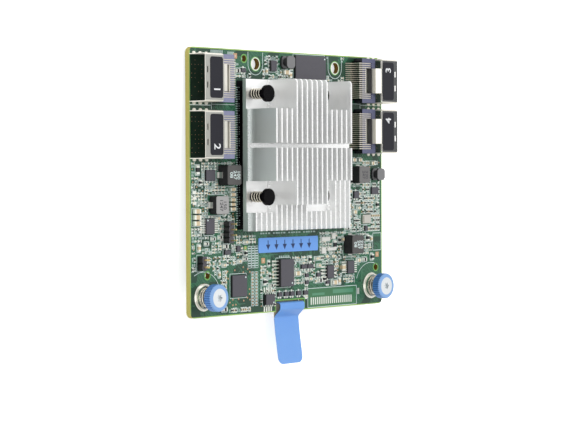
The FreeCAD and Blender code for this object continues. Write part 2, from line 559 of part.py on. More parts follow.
low_level, over = "Dim.sink_base + Dim.fin_low_height", "Dim.cut_overrun"
after_tall = before_fin("Dim.tall_fins")
long_left, long_right = before_fin("Dim.long_fins_first"), before_fin("Dim.long_fins_last")
upper_pad = pin_y["upper"] + " - ( " + sink_low + " ) - Dim.pad_upper_length / 2"
lower_pad = "Dim.pad_lower_start + Dim.pad_lower_length"
saw = "Dim.sink_length / 2 + Dim.saw_offset"
sink_cut(after_tall, "-" + over, width + " + " + over, length + " + " + over, low_level)
sink_cut("-" + over, "-" + over, width + " + " + over, "Dim.low_strip_length", low_level)
sink_cut("-" + over, upper_pad, long_left, length + " + " + over, "Dim.pad_floor")
sink_cut("-" + over, "Dim.pad_lower_start", long_left, lower_pad, "Dim.pad_floor")
sink_cut(long_right, upper_pad, before_fin("( Dim.tall_fins - 1 )"), length + " + " + over, "Dim.pad_floor")
sink_cut(long_right, "Dim.pad_lower_start", after_tall, lower_pad, "Dim.pad_floor")
sink_cut("-" + over, saw + " - Dim.saw_width / 2", width + " + " + over, saw + " + Dim.saw_width / 2",
         "Dim.sink_base")
sketch = new_sketch(sink, "XY_Plane")
for side in ("left", "right"):
    for level in ("upper", "lower"):
        round_outline(sketch, "%s - ( %s )" % (pin_x[side], sink_left),
                      "%s - ( %s )" % (pin_y[level], sink_low), "Dim.pin_hole_dia")
pocket(sink, sketch, "Dim.sink_base", back=True)
keep("heat_sink", seat(sink, sink_left, sink_low, "Dim.chip_height + Dim.thermal_gap"))

# Processor package and the thermal pad between it and the heat sink.
chip_x = "( %s + %s ) / 2" % (pin_x["left"], pin_x["right"])
chip_y = "( %s + %s ) / 2" % (pin_y["upper"], pin_y["lower"])
body = new_body("controller_chip")
sketch = new_sketch(body)
box_outline(sketch, "-Dim.chip_size / 2", "-Dim.chip_size / 2", "Dim.chip_size / 2", "Dim.chip_size / 2")
pad(body, sketch, "Dim.chip_substrate")
sketch = new_sketch(body, "XY_Plane", "Dim.chip_substrate")
box_outline(sketch, "-Dim.chip_lid_size / 2", "-Dim.chip_lid_size / 2", "Dim.chip_lid_size / 2",
            "Dim.chip_lid_size / 2")
pad(body, sketch, "Dim.chip_height - Dim.chip_substrate")
keep("controller_chip", seat(body, chip_x, chip_y, "0"))
body = new_body("thermal_pad")
sketch = new_sketch(body)
box_outline(sketch, "-Dim.chip_lid_size / 2", "-Dim.chip_lid_size / 2", "Dim.chip_lid_size / 2",
            "Dim.chip_lid_size / 2")
pad(body, sketch, "Dim.thermal_gap")
keep("thermal_pad", seat(body, chip_x, chip_y, "Dim.chip_height"))


# Push pins: a black cap on a split shaft that passes through heat sink and board and
# snaps out behind the board. A coil spring under the cap presses the heat sink down.
pad_level = "Dim.chip_height + Dim.thermal_gap + Dim.pad_floor"


def push_pin(name):
    body = new_body(name)
    sketch = new_sketch(body, "XZ_Plane")
    cap, shaft, barb = "Dim.pin_cap_dia / 2", "Dim.pin_shaft_dia / 2", "Dim.pin_barb_dia / 2"
    under = pad_level + " + Dim.pin_spring_length"
    top = under + " + Dim.pin_cap_height"
    catch = "-Dim.board_thickness - Dim.pin_clearance"
    end = catch + " - Dim.pin_barb_length"
    point = "2 * Dim.pin_shaft_dia / 2 - Dim.pin_barb_dia / 2"
    outline(sketch, [("0", end), (point, end), (barb, catch + " - Dim.pin_barb_edge"), (barb, catch),
                     (shaft, catch), (shaft, under), (cap, under), (cap, top + " - Dim.pin_cap_bevel"),
                     (cap + " - Dim.pin_cap_bevel", top), ("0", top)])
    revolve(body, sketch)
    # the shaft is split lengthways from its point to the board's face
    sketch = new_sketch(body, "YZ_Plane")
    box_outline(sketch, "-Dim.pin_slit / 2", end + " - Dim.pin_slit", "Dim.pin_slit / 2", "Dim.pin_slit")
    pocket(body, sketch, "2 * Dim.pin_cap_dia", both=True)
    return body


def tube(name, outer, wall, length, x, y, z):
    outside = doc.addObject("Part::Cylinder", name + "_outside")
    outside.setExpression("Radius", outer + " / 2")
    outside.setExpression("Height", length)
    inside = doc.addObject("Part::Cylinder", name + "_inside")
    inside.setExpression("Radius", outer + " / 2 - " + wall)
    inside.setExpression("Height", length)
    ring = doc.addObject("Part::Cut", name)
    ring.Base, ring.Tool = outside, inside
    return keep(name, seat(ring, x, y, z))


for side in ("left", "right"):
    for level in ("upper", "lower"):
        name = "%s_%s_push_pin" % (level, side)
        keep(name, seat(push_pin(name), pin_x[side], pin_y[level], "0"))
        tube("%s_%s_pin_spring" % (level, side), "Dim.pin_spring_dia", "Dim.pin_spring_wire",
             "Dim.pin_spring_length", pin_x[side], pin_y[level], pad_level)


# Captive thumbscrews: a ferrule pressed into the board, a spring inside it, the screw and
# its fluted plastic knob.
def ferrule(name):
    body = new_body(name)
    sketch = new_sketch(body, "XZ_Plane")
    bottom = "-Dim.board_thickness"
    eye, bore = "Dim.ferrule_eye_dia / 2", "Dim.ferrule_bore_dia / 2"
    barrel, flange = "Dim.ferrule_barrel_dia / 2", "Dim.ferrule_flange_dia / 2"
    outline(sketch, [(eye, bottom), ("Dim.ferrule_shank_dia / 2", bottom), ("Dim.ferrule_shank_dia / 2", "0"),
                     (flange, "0"), (flange, "Dim.ferrule_flange_height - Dim.ferrule_bevel"),
                     (flange + " - Dim.ferrule_bevel", "Dim.ferrule_flange_height"),
                     (barrel, "Dim.ferrule_flange_height"),
                     (barrel, "Dim.ferrule_height"), (bore, "Dim.ferrule_height"),
                     (bore, bottom + " + Dim.ferrule_floor"), (eye, bottom + " + Dim.ferrule_floor")])
    revolve(body, sketch)
    return body


def captive_screw(name):
    body = new_body(name)
    sketch = new_sketch(body, "XZ_Plane")
    front = "Dim.knob_lift + Dim.knob_length"
    neck, thread, collar = "Dim.screw_neck_dia / 2", "Dim.screw_thread_dia / 2", "Dim.screw_collar_dia / 2"
    catch = "-Dim.board_thickness - Dim.screw_clearance"
    end = catch + " - Dim.screw_collar_height - Dim.screw_tip"
    under = front + " - Dim.screw_head_height"
    outline(sketch, [("0", end), (thread + " - Dim.screw_point", end), (thread, end + " + Dim.screw_point"),
                     (thread, catch + " - Dim.screw_collar_height"),
                     (collar, catch + " - Dim.screw_collar_height"),
                     (collar, catch), (neck, catch), (neck, under), ("Dim.screw_head_dia / 2", under),
                     ("Dim.screw_head_dia / 2", front), ("0", front)])
    revolve(body, sketch)
    sketch = new_sketch(body, "XY_Plane", front)
    lobes = int(D("recess_lobes"))
    star = []
    for k in range(2 * lobes):
        reach = "Dim.recess_root_dia / 2" if k % 2 else "Dim.recess_dia / 2"
        angle = "( %d * 180deg / %d )" % (k, lobes)
        star.append(("%s * cos%s" % (reach, angle), "%s * sin%s" % (reach, angle)))
    outline(sketch, star)
    pocket(body, sketch, "Dim.recess_depth")
    return body


def knob(name):
    body = new_body(name)
    sketch = new_sketch(body, "XZ_Plane")
    rear, front = "Dim.knob_lift", "Dim.knob_lift + Dim.knob_length"
    out, bevel = "Dim.knob_dia / 2", "Dim.knob_chamfer"
    head, neck, floor = "Dim.screw_head_dia / 2", "Dim.screw_neck_dia / 2", front + " - Dim.screw_head_height"
    outline(sketch, [(neck, rear), (out + " - " + bevel, rear), (out, rear + " + " + bevel),
                     (out, front + " - " + bevel), (out + " - " + bevel, front), (head, front),
                     (head, floor), (neck, floor)])
    revolve(body, sketch)
    sketch = new_sketch(body, "XY_Plane", front)
    beyond = out + " + Dim.knob_flute_depth"
    outline(sketch, [(out + " - Dim.knob_flute_depth", "0"), (beyond, "-Dim.knob_flute_width"),
                     (beyond, "Dim.knob_flute_width")])
    ring_of(body, pocket(body, sketch, "Dim.knob_length"), "Dim.knob_flutes")
    return body


for side in ("left", "right"):
    for what, make in (("_screw_ferrule", ferrule), ("_captive_screw", captive_screw), ("_screw_knob", knob)):
        keep(side + what, seat(make(side + what), screw_x[side], screw_y, "0"))
    tube(side + "_screw_spring", "Dim.screw_spring_dia", "Dim.screw_spring_wire",
         "Dim.knob_lift + Dim.board_thickness - Dim.ferrule_floor", screw_x[side], screw_y,
         "Dim.ferrule_floor - Dim.board_thickness")

# Pull tab: one strip of film stuck to the back of the board, up through the notch, folded
# over to the front and left hanging past the lower edge, with its backing layer behind the
# fold. Its section is straight runs joined by tangent bends.
def ribbon(route, thickness):
    sides = {1: [], -1: []}
    last = {}
    for i, (y, z, radius) in enumerate(route):
        before = Vector(0, *route[max(i - 1, 0)][:2])
        here = Vector(0, y, z)
        after = Vector(0, *route[min(i + 1, len(route) - 1)][:2])
        run_in = (here - before if i else after - here).normalize()
        run_out = (after - here if i < len(route) - 1 else here - before).normalize()
        normal_in, normal_out = Vector(0, -run_in.z, run_in.y), Vector(0, -run_out.z, run_out.y)
        turn = run_in.y * run_out.z - run_in.z * run_out.y
        for side in sides:
            offset = side * thickness / 2
            if radius:
                hand = math.copysign(1, turn)
                reach = radius * math.tan(math.acos(run_in.dot(run_out)) / 2)
                start, end = here - run_in * reach, here + run_out * reach
                centre = start + normal_in * (radius * hand)
                size = radius - hand * offset
                first, final = centre - normal_in * (size * hand), centre - normal_out * (size * hand)
                middle = centre + (here - centre).normalize() * size
                sides[side] += [Part.makeLine(last[side], first), Part.Arc(first, middle, final).toShape()]
            else:
                first = final = here + normal_in * offset
                if side in last:
                    sides[side].append(Part.makeLine(last[side], first))
            last[side] = final
    ends = [Part.makeLine(sides[1][0].Vertexes[0].Point, sides[-1][0].Vertexes[0].Point),
            Part.makeLine(last[1], last[-1])]
    return Part.Face(Part.Wire(Part.__sortEdges__(sides[1] + sides[-1] + ends)))


film, board_back = D("tab_thickness"), -D("board_thickness")
edge_y = value_of(lower_edge)
fold_y = value_of(notch_top) - D("tab_notch_gap")
tab_end = edge_y - D("tab_reach")
stuck = board_back - film / 2
route = [(fold_y + D("tab_stuck_length"), stuck, 0), (fold_y, stuck, 2 * film),
         (fold_y, D("tab_fold_height"), 4 * film),
         (fold_y - D("tab_fold_length"), D("tab_fold_height"), 6 * film),
         (fold_y - D("tab_fall_length"), stuck, 6 * film),
         (fold_y - D("tab_sag_length"), board_back + D("tab_sag"), 40 * film),
         (tab_end, D("tab_end_height"), 0)]
strip = ribbon(route, film).extrude(Vector(D("tab_width"), 0, 0))
tab_left = D("tab_x") - D("tab_width") / 2
tab_right = D("tab_x") + D("tab_width") / 2
strip.translate(Vector(tab_left, 0, 0))
backing = block(tab_left, tab_right, fold_y - D("tab_fall_length"), fold_y + 2 * film,
                board_back - film, board_back)
plan = block(tab_left, tab_right, tab_end, fold_y + D("tab_stuck_length"), -D("tab_reach"), D("tab_reach"))
plan = plan.makeFillet(D("tab_corner"), [e for e in plan.Edges if upright(e) and e.Vertexes[0].Y < edge_y])
solid("pull_tab", strip.fuse(backing).removeSplitter().common(plan))

# Connector on the back that plugs the card into its host board: a housing with two wells
# and a row of contacts in each.
mezz = new_body("mezzanine_housing")
sketch = new_sketch(mezz)
ml, mw = "Dim.mezz_length / 2", "Dim.mezz_width / 2"
key = "Dim.mezz_key"
outline(sketch, [(key + " - " + ml, "-" + mw), (ml, "-" + mw), (ml, mw), (key + " - " + ml, mw),
                 ("-" + ml, mw + " - " + key), ("-" + ml, key + " - " + mw)])
pad(mezz, sketch, "Dim.mezz_height")
sketch = new_sketch(mezz)
rib, wall = "Dim.mezz_rib / 2", "Dim.mezz_wall"
well_left, well_right = "Dim.mezz_wall + Dim.mezz_key - " + ml, ml + " - Dim.mezz_wall"
box_outline(sketch, well_left, rib, well_right, mw + " - " + wall)
box_outline(sketch, well_left, "-( " + mw + " - " + wall + " )", well_right, "-" + rib)
pocket(mezz, sketch, "Dim.mezz_well", back=True)
keep("mezzanine_housing", seat(mezz, "Dim.mezz_x", "Dim.mezz_y", "-Dim.board_thickness - Dim.mezz_height"))
body = new_body("mezzanine_contacts")
body.AllowCompound = True
sketch = new_sketch(body, "XY_Plane")
step0 = "-( Dim.mezz_count - 1 ) * Dim.mezz_pitch / 2"
cw = "Dim.mezz_contact_width / 2"
box_outline(sketch, step0 + " - " + cw, rib, step0 + " + " + cw, rib + " + Dim.mezz_contact_metal")
box_outline(sketch, step0 + " - " + cw, "-( " + rib + " + Dim.mezz_contact_metal )", step0 + " + " + cw,
            "-" + rib)
first = pad(body, sketch, "Dim.mezz_well - Dim.mezz_contact_gap")
row_of(body, first, "X_Axis", "Dim.mezz_pitch", "Dim.mezz_count")
keep("mezzanine_contacts", seat(body, "Dim.mezz_x", "Dim.mezz_y",
                                "Dim.mezz_contact_gap - Dim.board_thickness - Dim.mezz_height"))

# Adhesive label over the connector, where the card is pressed home.
body = new_body("install_label")
sketch = new_sketch(body)
half_a, half_b = "Dim.install_label_length / 2", "Dim.install_label_width / 2"
box_outline(sketch, "-" + half_a, "-" + half_b, half_a, half_b)
label = pad(body, sketch, "Dim.install_label_thickness")
doc.recompute()
fillet(body, label, edge_names(label, upright), "Dim.install_label_corner")
keep("install_label", seat(body, "Dim.mezz_x", "Dim.mezz_y", "0"))


# Pin headers: a waisted plastic strip and square gold pins that go through the board's face.
def header(name, kind):
    body = new_body(name + "_housing")
    pitch, count = "Dim.%s_pitch" % kind, "Dim.%s_pins" % kind
    half_d, nick = "Dim.%s_depth / 2" % kind, "Dim.header_waist"
    start = "-" + count + " * " + pitch + " / 2"
    sketch = new_sketch(body)
    outline(sketch, [("-" + half_d, start + " + " + nick), (nick + " - " + half_d, start),
                     (half_d + " - " + nick, start), (half_d, start + " + " + nick),
                     (half_d, start + " + " + pitch + " - " + nick),
                     (half_d + " - " + nick, start + " + " + pitch),
                     (nick + " - " + half_d, start + " + " + pitch),
                     ("-" + half_d, start + " + " + pitch + " - " + nick)])
    cell = pad(body, sketch, "Dim.%s_height" % kind)
    row_of(body, cell, "Y_Axis", pitch, count)
    sketch = new_sketch(body)
    y0 = start + " + " + pitch + " / 2"
    p = "Dim.%s_pin / 2" % kind
    box_outline(sketch, "-" + p, y0 + " - " + p, p, y0 + " + " + p)
    hole = pocket(body, sketch, "Dim.%s_height" % kind, back=True)
    row_of(body, hole, "Y_Axis", pitch, count)
    x = "( Dim.%s_side - Dim.drawn_width / 2 ) * Dim.board_width / Dim.drawn_width" % kind
    y = lower_edge + " + Dim.%s_inset" % kind
    keep(name + "_housing", seat(body, x, y, "0"))
    body = new_body(name + "_pins")
    body.AllowCompound = True
    sketch = new_sketch(body)
    box_outline(sketch, "-" + p, y0 + " - " + p, p, y0 + " + " + p)
    pin = pad(body, sketch, "Dim.%s_height + Dim.%s_pin_reach" % (kind, kind))
    row_of(body, pin, "Y_Axis", pitch, count)
    keep(name + "_pins", seat(body, x, y, "0"))


header("serial_header", "header")
header("jumper_header", "jumper")


# Wound parts. The power chokes are moulded blocks on two solder feet, and the two drum
# chokes have a waist between two square-cornered flanges.
def choke(name, x, y, feet_across):
    size, height = D(name + "_size"), D(name + "_height")
    foot, metal, half = D("choke_foot_width"), D("choke_foot_metal"), D(name + "_size") / 2
    core = block(-half, half, -half, half, D("choke_gap"), height)
    core = core.makeChamfer(D("choke_corner"), [e for e in core.Edges if upright(e)])
    core = core.makeChamfer(D("choke_bevel"), [e for e in core.Edges if e.BoundBox.ZMin > height - NEAR])
    feet = []
    for turn in (0, 180):
        leg = block(half - metal, half + metal, -foot / 2, foot / 2, 0, height * D("choke_foot_share"))
        sole = block(half - metal, half + D("choke_foot_reach"), -foot / 2, foot / 2, 0, metal)
        leg = leg.fuse(sole).removeSplitter()
        leg.rotate(Vector(0, 0, 0), Vector(0, 0, 1), turn)
        feet.append(leg)
    shape = Part.makeCompound([core.cut(feet[0]).cut(feet[1])] + feet)
    if not feet_across:
        shape.rotate(Vector(0, 0, 0), Vector(0, 0, 1), 90)
    shape.translate(Vector(x, y, 0))
    solid(name, shape)


choke_left = value_of(sink_left) - D("upper_choke_gap") - D("upper_choke_size")
choke("upper_choke", choke_left + D("upper_choke_size") / 2, along(D("upper_choke_y")), True)
choke("left_choke", across(D("left_choke_x")), along(D("left_choke_y")), True)
choke("right_choke", across(D("right_choke_x")), along(D("right_choke_y")), False)
choke("port_choke", across(D("port_choke_x")), along(D("port_choke_y")), False)

drums = []
for name in ("upper_drum", "side_drum"):
    half, height, flange = D("drum_size") / 2, D("drum_height"), D("drum_flange")
    lower = block(-half, half, -half, half, 0, flange)
    upper = block(-half, half, -half, half, height - flange, height)
    lower = lower.makeChamfer(D("drum_corner"), [e for e in lower.Edges if upright(e)])
    upper = upper.makeChamfer(D("drum_corner"), [e for e in upper.Edges if upright(e)])
    core = Part.makeCylinder(D("drum_core_dia") / 2, height - 2 * flange, Vector(0, 0, flange))
    drum = lower.fuse([core, upper]).removeSplitter()
    drum.translate(Vector(across(D(name + "_x")), along(D(name + "_y")), 0))
    drums.append(drum)
solid("drum_chokes", Part.makeCompound(drums))


# Packages: a bevelled moulding for each body, and gull-wing leads in two rows. The regulator
# stands beside the upper choke.
def footprint(name):
    half_width, half_length = D(name + "_width") / 2, D(name + "_length") / 2
    if name == "regulator":
        x = choke_left - D("choke_foot_reach") - D("regulator_gap") - half_width
    else:
        x = across(D(name + "_x"))
    y = along(D(name + "_y"))
    return x - half_width, x + half_width, y - half_length, y + half_length


def package(name, gap=0.0):
    height = D(name + "_height")
    shape = block(*footprint(name), gap, height)
    return shape.makeChamfer(D("package_bevel"), [e for e in shape.Edges if e.BoundBox.ZMin > height - NEAR])


def gull_leads(name, count, pitch, width, along_y=True):
    # The leads leave the moulding at half its height, count on each side.
    x0, x1, y0, y1 = footprint(name)
    reach, level = (x1 - x0 if along_y else y1 - y0) / 2, D(name + "_height") / 2
    metal, bend, toe = D("lead_metal"), reach + D("lead_shoulder"), reach + D("lead_span")
    slope = D("lead_slope")
    profile = [(reach, level - metal), (bend, level - metal), (bend + slope, 0), (toe, 0), (toe, metal),
               (bend + slope + metal, metal), (bend + metal, level), (reach, level)]
    leads = []
    for turn in (0, 180):
        for i in range(count):
            wire = Part.makePolygon([Vector(px, -width / 2, pz) for px, pz in profile + profile[:1]])
            lead = Part.Face(wire).extrude(Vector(0, width, 0))
            lead.translate(Vector(0, (i - (count - 1) / 2) * pitch, 0))
            lead.rotate(Vector(0, 0, 0), Vector(0, 0, 1), turn if along_y else turn + 90)
            lead.translate(Vector((x0 + x1) / 2, (y0 + y1) / 2, 0))
            leads.append(lead)
    return leads


for name in ("flash_chip", "clock_chip"):
    solid(name, package(name))
for name in ("bus_chip", "supervisor_chip", "level_shifter_chip", "left_driver_chip", "right_driver_chip"):
    solid(name, package(name, D("package_gap")))
names = ["regulator"] + ["small_package_%d" % (i + 1) for i in range(len(small_packages))]
solid("small_packages", Part.makeCompound([package(name) for name in names]))
solid("chip_leads", Part.makeCompound(
    gull_leads("bus_chip", 8, D("wide_pitch"), D("wide_lead")) +
    gull_leads("supervisor_chip", 4, D("wide_pitch"), D("wide_lead"), False) +
    gull_leads("level_shifter_chip", 4, D("wide_pitch"), D("wide_lead")) +
    gull_leads("left_driver_chip", 8, D("fine_pitch"), D("fine_lead")) +
    gull_leads("right_driver_chip", 6, D("driver_pitch"), D("fine_lead"))))

x0, x1, y0, y1 = footprint("oscillator")
rim, edge, height = D("oscillator_rim"), D("oscillator_edge"), D("oscillator_height")
can = block(x0, x1, y0, y1, 0, rim)
lid = block(x0 + edge, x1 - edge, y0 + edge, y1 - edge, rim, height)
solid("oscillator", can.fuse(lid).removeSplitter())

# Ceramic capacitors: the large and middling ones that stand clear of the board.
names = ["capacitor_%d" % (i + 1) for i in range(len(ceramic_capacitors))]
solid("ceramic_capacitors", Part.makeCompound(
    [block(*footprint(name), 0, D(name + "_height")) for name in names]))

# Write the parts.
doc.recompute()
for obj in doc.Objects:
    if "Invalid" in obj.State or "Error" in obj.State:
        raise RuntimeError("failed object: %s %s" % (obj.Name, obj.State))
for name, obj in parts.items():
    if obj.Shape.isNull() or not obj.Shape.isValid() or not obj.Shape.Solids:
        raise RuntimeError("bad shape: " + name)
os.makedirs("parts", exist_ok=True)
for name, obj in parts.items():
    obj.Shape.exportStep("parts/%s.step" % name)
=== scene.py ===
# Looks for the storage controller card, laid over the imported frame.
# Sizes and places are millimetres from the middle of the board's component side, and at()
# turns them into the frame's metres.
import math
import random

import bmesh
import bpy
from mathutils import Matrix, Vector
from mathutils.bvhtree import BVHTree


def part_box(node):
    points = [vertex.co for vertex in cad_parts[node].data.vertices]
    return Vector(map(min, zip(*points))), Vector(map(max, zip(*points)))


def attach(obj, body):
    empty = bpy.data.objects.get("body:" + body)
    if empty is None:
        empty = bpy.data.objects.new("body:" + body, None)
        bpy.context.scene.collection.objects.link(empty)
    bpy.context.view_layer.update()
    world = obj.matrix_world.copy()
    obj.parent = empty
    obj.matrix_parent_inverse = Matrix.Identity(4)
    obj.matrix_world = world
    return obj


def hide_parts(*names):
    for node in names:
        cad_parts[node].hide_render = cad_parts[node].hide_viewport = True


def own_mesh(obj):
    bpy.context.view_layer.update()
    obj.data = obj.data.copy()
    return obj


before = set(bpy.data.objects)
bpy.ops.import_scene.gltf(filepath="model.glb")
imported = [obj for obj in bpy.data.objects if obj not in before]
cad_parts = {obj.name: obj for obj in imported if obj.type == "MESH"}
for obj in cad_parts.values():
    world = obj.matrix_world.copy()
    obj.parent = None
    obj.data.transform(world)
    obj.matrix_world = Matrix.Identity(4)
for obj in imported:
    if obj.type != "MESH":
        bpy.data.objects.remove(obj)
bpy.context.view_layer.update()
print("frame loaded:", len(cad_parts), "nodes")

mm = 0.001
boardLow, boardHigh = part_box("circuit_board")
boardMiddle = (boardLow + boardHigh) / 2
boardThickness = (boardHigh.z - boardLow.z) / mm
rng = random.Random(17)

sides, levels = ("left", "right"), ("upper", "lower")
ports = {"1": (-54.9, 1), "2": (-54.9, 1), "3": (55.0, -1), "4": (55.0, -1)}  # mouth, way inwards
chips = ["flash_chip", "bus_chip", "clock_chip", "supervisor_chip", "level_shifter_chip",
         "left_driver_chip", "right_driver_chip"]
chokes = {
    "upper_choke": {"crown": 88, "rows": ("100", "247", "08"), "ink": "silkInk"},
    "left_choke": {"crown": 172, "rows": ("150", "1247"), "ink": "greyInk"},
    "right_choke": {"crown": 84, "rows": ("220", "247", "08"), "ink": "silkInk"},
    "port_choke": {"crown": 118, "rows": ("330", "247"), "ink": "greyInk"},
}


def at(x, y, z=0.0):
    return Vector((boardMiddle.x + x * mm, boardMiddle.y + y * mm, boardHigh.z + z * mm))


def fromBoard(point):  # a point of the frame, back in board millimetres
    x, y, z = point.x - boardMiddle.x, point.y - boardMiddle.y, point.z - boardHigh.z
    return Vector((x / mm, y / mm, z / mm))


def nodeBox(name):
    low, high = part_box(name)
    return fromBoard(low), fromBoard(high)


def topOf(name):  # x and y of a node's middle, and the height of its top
    low, high = nodeBox(name)
    return (low.x + high.x) / 2, (low.y + high.y) / 2, high.z


def spread(middle, count, pitch):  # the places of a row about its middle
    return [middle + (i - (count - 1) / 2) * pitch for i in range(count)]


def row(first, count, pitch):  # the same from its first place
    return [first + i * pitch for i in range(count)]


# Materials
def operator(operation, swap=False):  # a method that puts one maths node after a signal
    def method(signal, other=None):
        pair = [signal] if other is None else [signal, other]
        if swap:
            pair.reverse()
        return signal.finish.node("Math", {"operation": operation}, dict(enumerate(pair)))
    return method


class Signal:  # an output socket that can stand in a sum
    def __init__(self, finish, socket):
        self.finish = finish
        self.socket = socket

    __add__ = __radd__ = operator("ADD")
    __mul__ = __rmul__ = operator("MULTIPLY")
    __sub__, __rsub__ = operator("SUBTRACT"), operator("SUBTRACT", swap=True)
    __truediv__, __rtruediv__ = operator("DIVIDE"), operator("DIVIDE", swap=True)
    __gt__, __lt__ = operator("GREATER_THAN"), operator("LESS_THAN")
    __abs__, fraction = operator("ABSOLUTE"), operator("FRACT")
    larger, smaller = operator("MAXIMUM"), operator("MINIMUM")


class Finish:  # one material, built node by node
    def __init__(self, name, owner=None):
        self.block = owner or bpy.data.materials.new(name)
        self.block.use_nodes = True
        self.tree = self.block.node_tree
        self.tree.nodes.clear()

    def node(self, kind, settings=None, sockets=None, out=0):
        made = self.tree.nodes.new("ShaderNode" + kind)
        for key, value in (settings or {}).items():
            setattr(made, key, value)
        for key, value in (sockets or {}).items():
            if isinstance(value, Signal):
                self.tree.links.new(value.socket, made.inputs[key])
            else:
                made.inputs[key].default_value = value
        return Signal(self, made.outputs[out]) if made.outputs else None

    def place(self):
        return self.node("TexCoord", out="Object")

    def parts(self, vector):
        split = self.tree.nodes.new("ShaderNodeSeparateXYZ")
        self.tree.links.new(vector.socket, split.inputs[0])
        return [Signal(self, split.outputs[i]) for i in range(3)]

    def noise(self, scale, detail=3.0, stretch=(1, 1, 1), rough=0.5):
        place = self.node("Mapping", None, {"Vector": self.place(), "Scale": stretch})
        return self.node("TexNoise", None, {"Vector": place, "Scale": scale, "Detail": detail,
                                            "Roughness": rough})

    def mixed(self, factor, first, second):
        return self.node("Mix", {"data_type": "RGBA"}, {0: factor, 6: first, 7: second}, out=2)

    def bump(self, height, distance, strength=1.0):  # distance in millimetres
        return self.node("Bump", None, {"Height": height, "Distance": distance * mm, "Strength": strength})

    def facing(self):  # the surface's own direction
        return self.parts(self.node("NewGeometry", out="Normal"))

    def seenWhite(self):  # 1 for the rays that show a bare white ground
        path = self.tree.nodes.new("ShaderNodeLightPath")
        camera, glossy, through = (Signal(self, path.outputs["Is %s Ray" % kind])
                                   for kind in ("Camera", "Glossy", "Transmission"))
        return camera.larger(glossy).larger(through)

    def surface(self, **sockets):
        names = {"colour": "Base Color", "rough": "Roughness", "metal": "Metallic", "normal": "Normal",
                 "coat": "Coat Weight", "specular": "Specular IOR Level", "subsurface": "Subsurface Weight"}
        shader = self.node("BsdfPrincipled", None, {names[k]: v for k, v in sockets.items()})
        self.node("OutputMaterial", None, {"Surface": shader})
        return self.block


def colour(red, green, blue):  # screen values 0 to 255 to a linear colour
    linear = [((v / 255 + 0.055) / 1.055) ** 2.4 if v > 10 else v / 3294.6 for v in (red, green, blue)]
    return (*linear, 1.0)


def dimmed(tint, share):
    return (*(v * share for v in tint[:3]), 1.0)


solderMask = {"dark": colour(16, 62, 42), "mid": colour(34, 98, 66), "pour": colour(96, 150, 122),
              "laminate": colour(200, 190, 106), "layer": colour(160, 180, 96), "rim": colour(170, 206, 112),
              "copperAndShadeWall": colour(126, 98, 30), "rimWidth": 0.42, "wallDepth": 0.9, "layerPitch": 0.4,
              "notchHalf": 12, "notchTop": 9, "cells": 150.0, "fine": 900.0, "lines": 420.0, "grain": 5200.0}


def solderMaskFinish():
    look = solderMask
    f = Finish("solderMask")
    x, y, z = f.parts(f.place())
    upright = f.facing()[2]
    flat, front = abs(upright) > 0.5, upright > 0.5
    halfWidth, halfLength = (boardHigh.x - boardLow.x) / 2, (boardHigh.y - boardLow.y) / 2
    inwards = (halfWidth - abs(x - boardMiddle.x)).smaller(halfLength - abs(y - boardMiddle.y))
    cells = f.node("TexVoronoi", {"distance": "CHEBYCHEV", "feature": "F1"},
                   {"Vector": f.place(), "Scale": look["cells"]}, out="Color")
    patch = f.parts(cells)[0]
    fine = f.noise(look["fine"], 4.0)
    tone = (patch * 0.7 + fine * 0.5) > 0.62
    lines = f.node("TexWave", {"wave_type": "BANDS", "bands_direction": "DIAGONAL"},
                   {"Vector": f.place(), "Scale": look["lines"], "Distortion": 9.0, "Detail": 2.0})
    green = f.mixed(tone * (front * 0.5 + 0.3), look["dark"], look["mid"])
    green = f.mixed((lines > 0.7) * 0.22 * (patch > 0.4), green, look["pour"])
    green = f.mixed((inwards < look["rimWidth"] * mm) * 0.9, green, look["rim"])
    layer = ((z / (look["layerPitch"] * mm)).fraction() > 0.86) * 0.35
    edge = f.mixed(layer, look["laminate"], look["layer"])
    notch = (abs(x - boardMiddle.x) < look["notchHalf"] * mm) * (y < boardLow.y + look["notchTop"] * mm)
    # the walls of the holes take a brown gold that is partly their plated copper and partly painted shade
    edge = f.mixed((inwards > look["wallDepth"] * mm) * (1 - notch), edge, look["copperAndShadeWall"])
    grain = f.noise(look["grain"], 2.0)
    return f.surface(colour=f.mixed(flat, edge, green), rough=0.82 - flat * 0.46 + fine * 0.08,
                     normal=f.bump(grain + lines * 0.3, 0.006, 0.5))


def inkFinish(name, tint, rough=0.6, specular=0.4):
    tint = colour(*tint)
    f = Finish(name)
    patchy = f.noise(2600.0)
    worn = f.mixed((patchy - 0.42) * 0.5, tint, dimmed(tint, 0.82))
    return f.surface(colour=worn, rough=rough, normal=f.bump(patchy, 0.004, 0.4), specular=specular)


def metalFinish(name, tint, rough):
    tint = colour(*tint)
    f = Finish(name)
    brush, cloud = f.noise(900.0), f.noise(110.0, 2.0)
    return f.surface(colour=f.mixed(cloud * 0.6, tint, dimmed(tint, 0.86)), metal=1.0,
                     rough=rough + brush * 0.16 + (cloud - 0.5) * 0.1, normal=f.bump(brush, 0.004, 0.6))


def plasticFinish(name, tint, rough, specular=0.5, coat=0.0):
    tint = colour(*tint)
    f = Finish(name)
    skin, cloud = f.noise(2600.0), f.noise(160.0, 2.0)
    return f.surface(colour=f.mixed(cloud * 0.5, tint, dimmed(tint, 0.8)), rough=rough + skin * 0.12 - 0.06,
                     normal=f.bump(skin, 0.006, 0.5), coat=coat, specular=specular)


sinkLook = {"baseHeight": 2.35, "padHeight": 1.8, "outerReach": 1.5, "padMetal": 0.85, "topMetal": 0.92,
            "sideMetal": 0.62, "flankMetal": 0.25, "padRough": 0.3, "topRough": 0.2, "sideRough": 0.4}


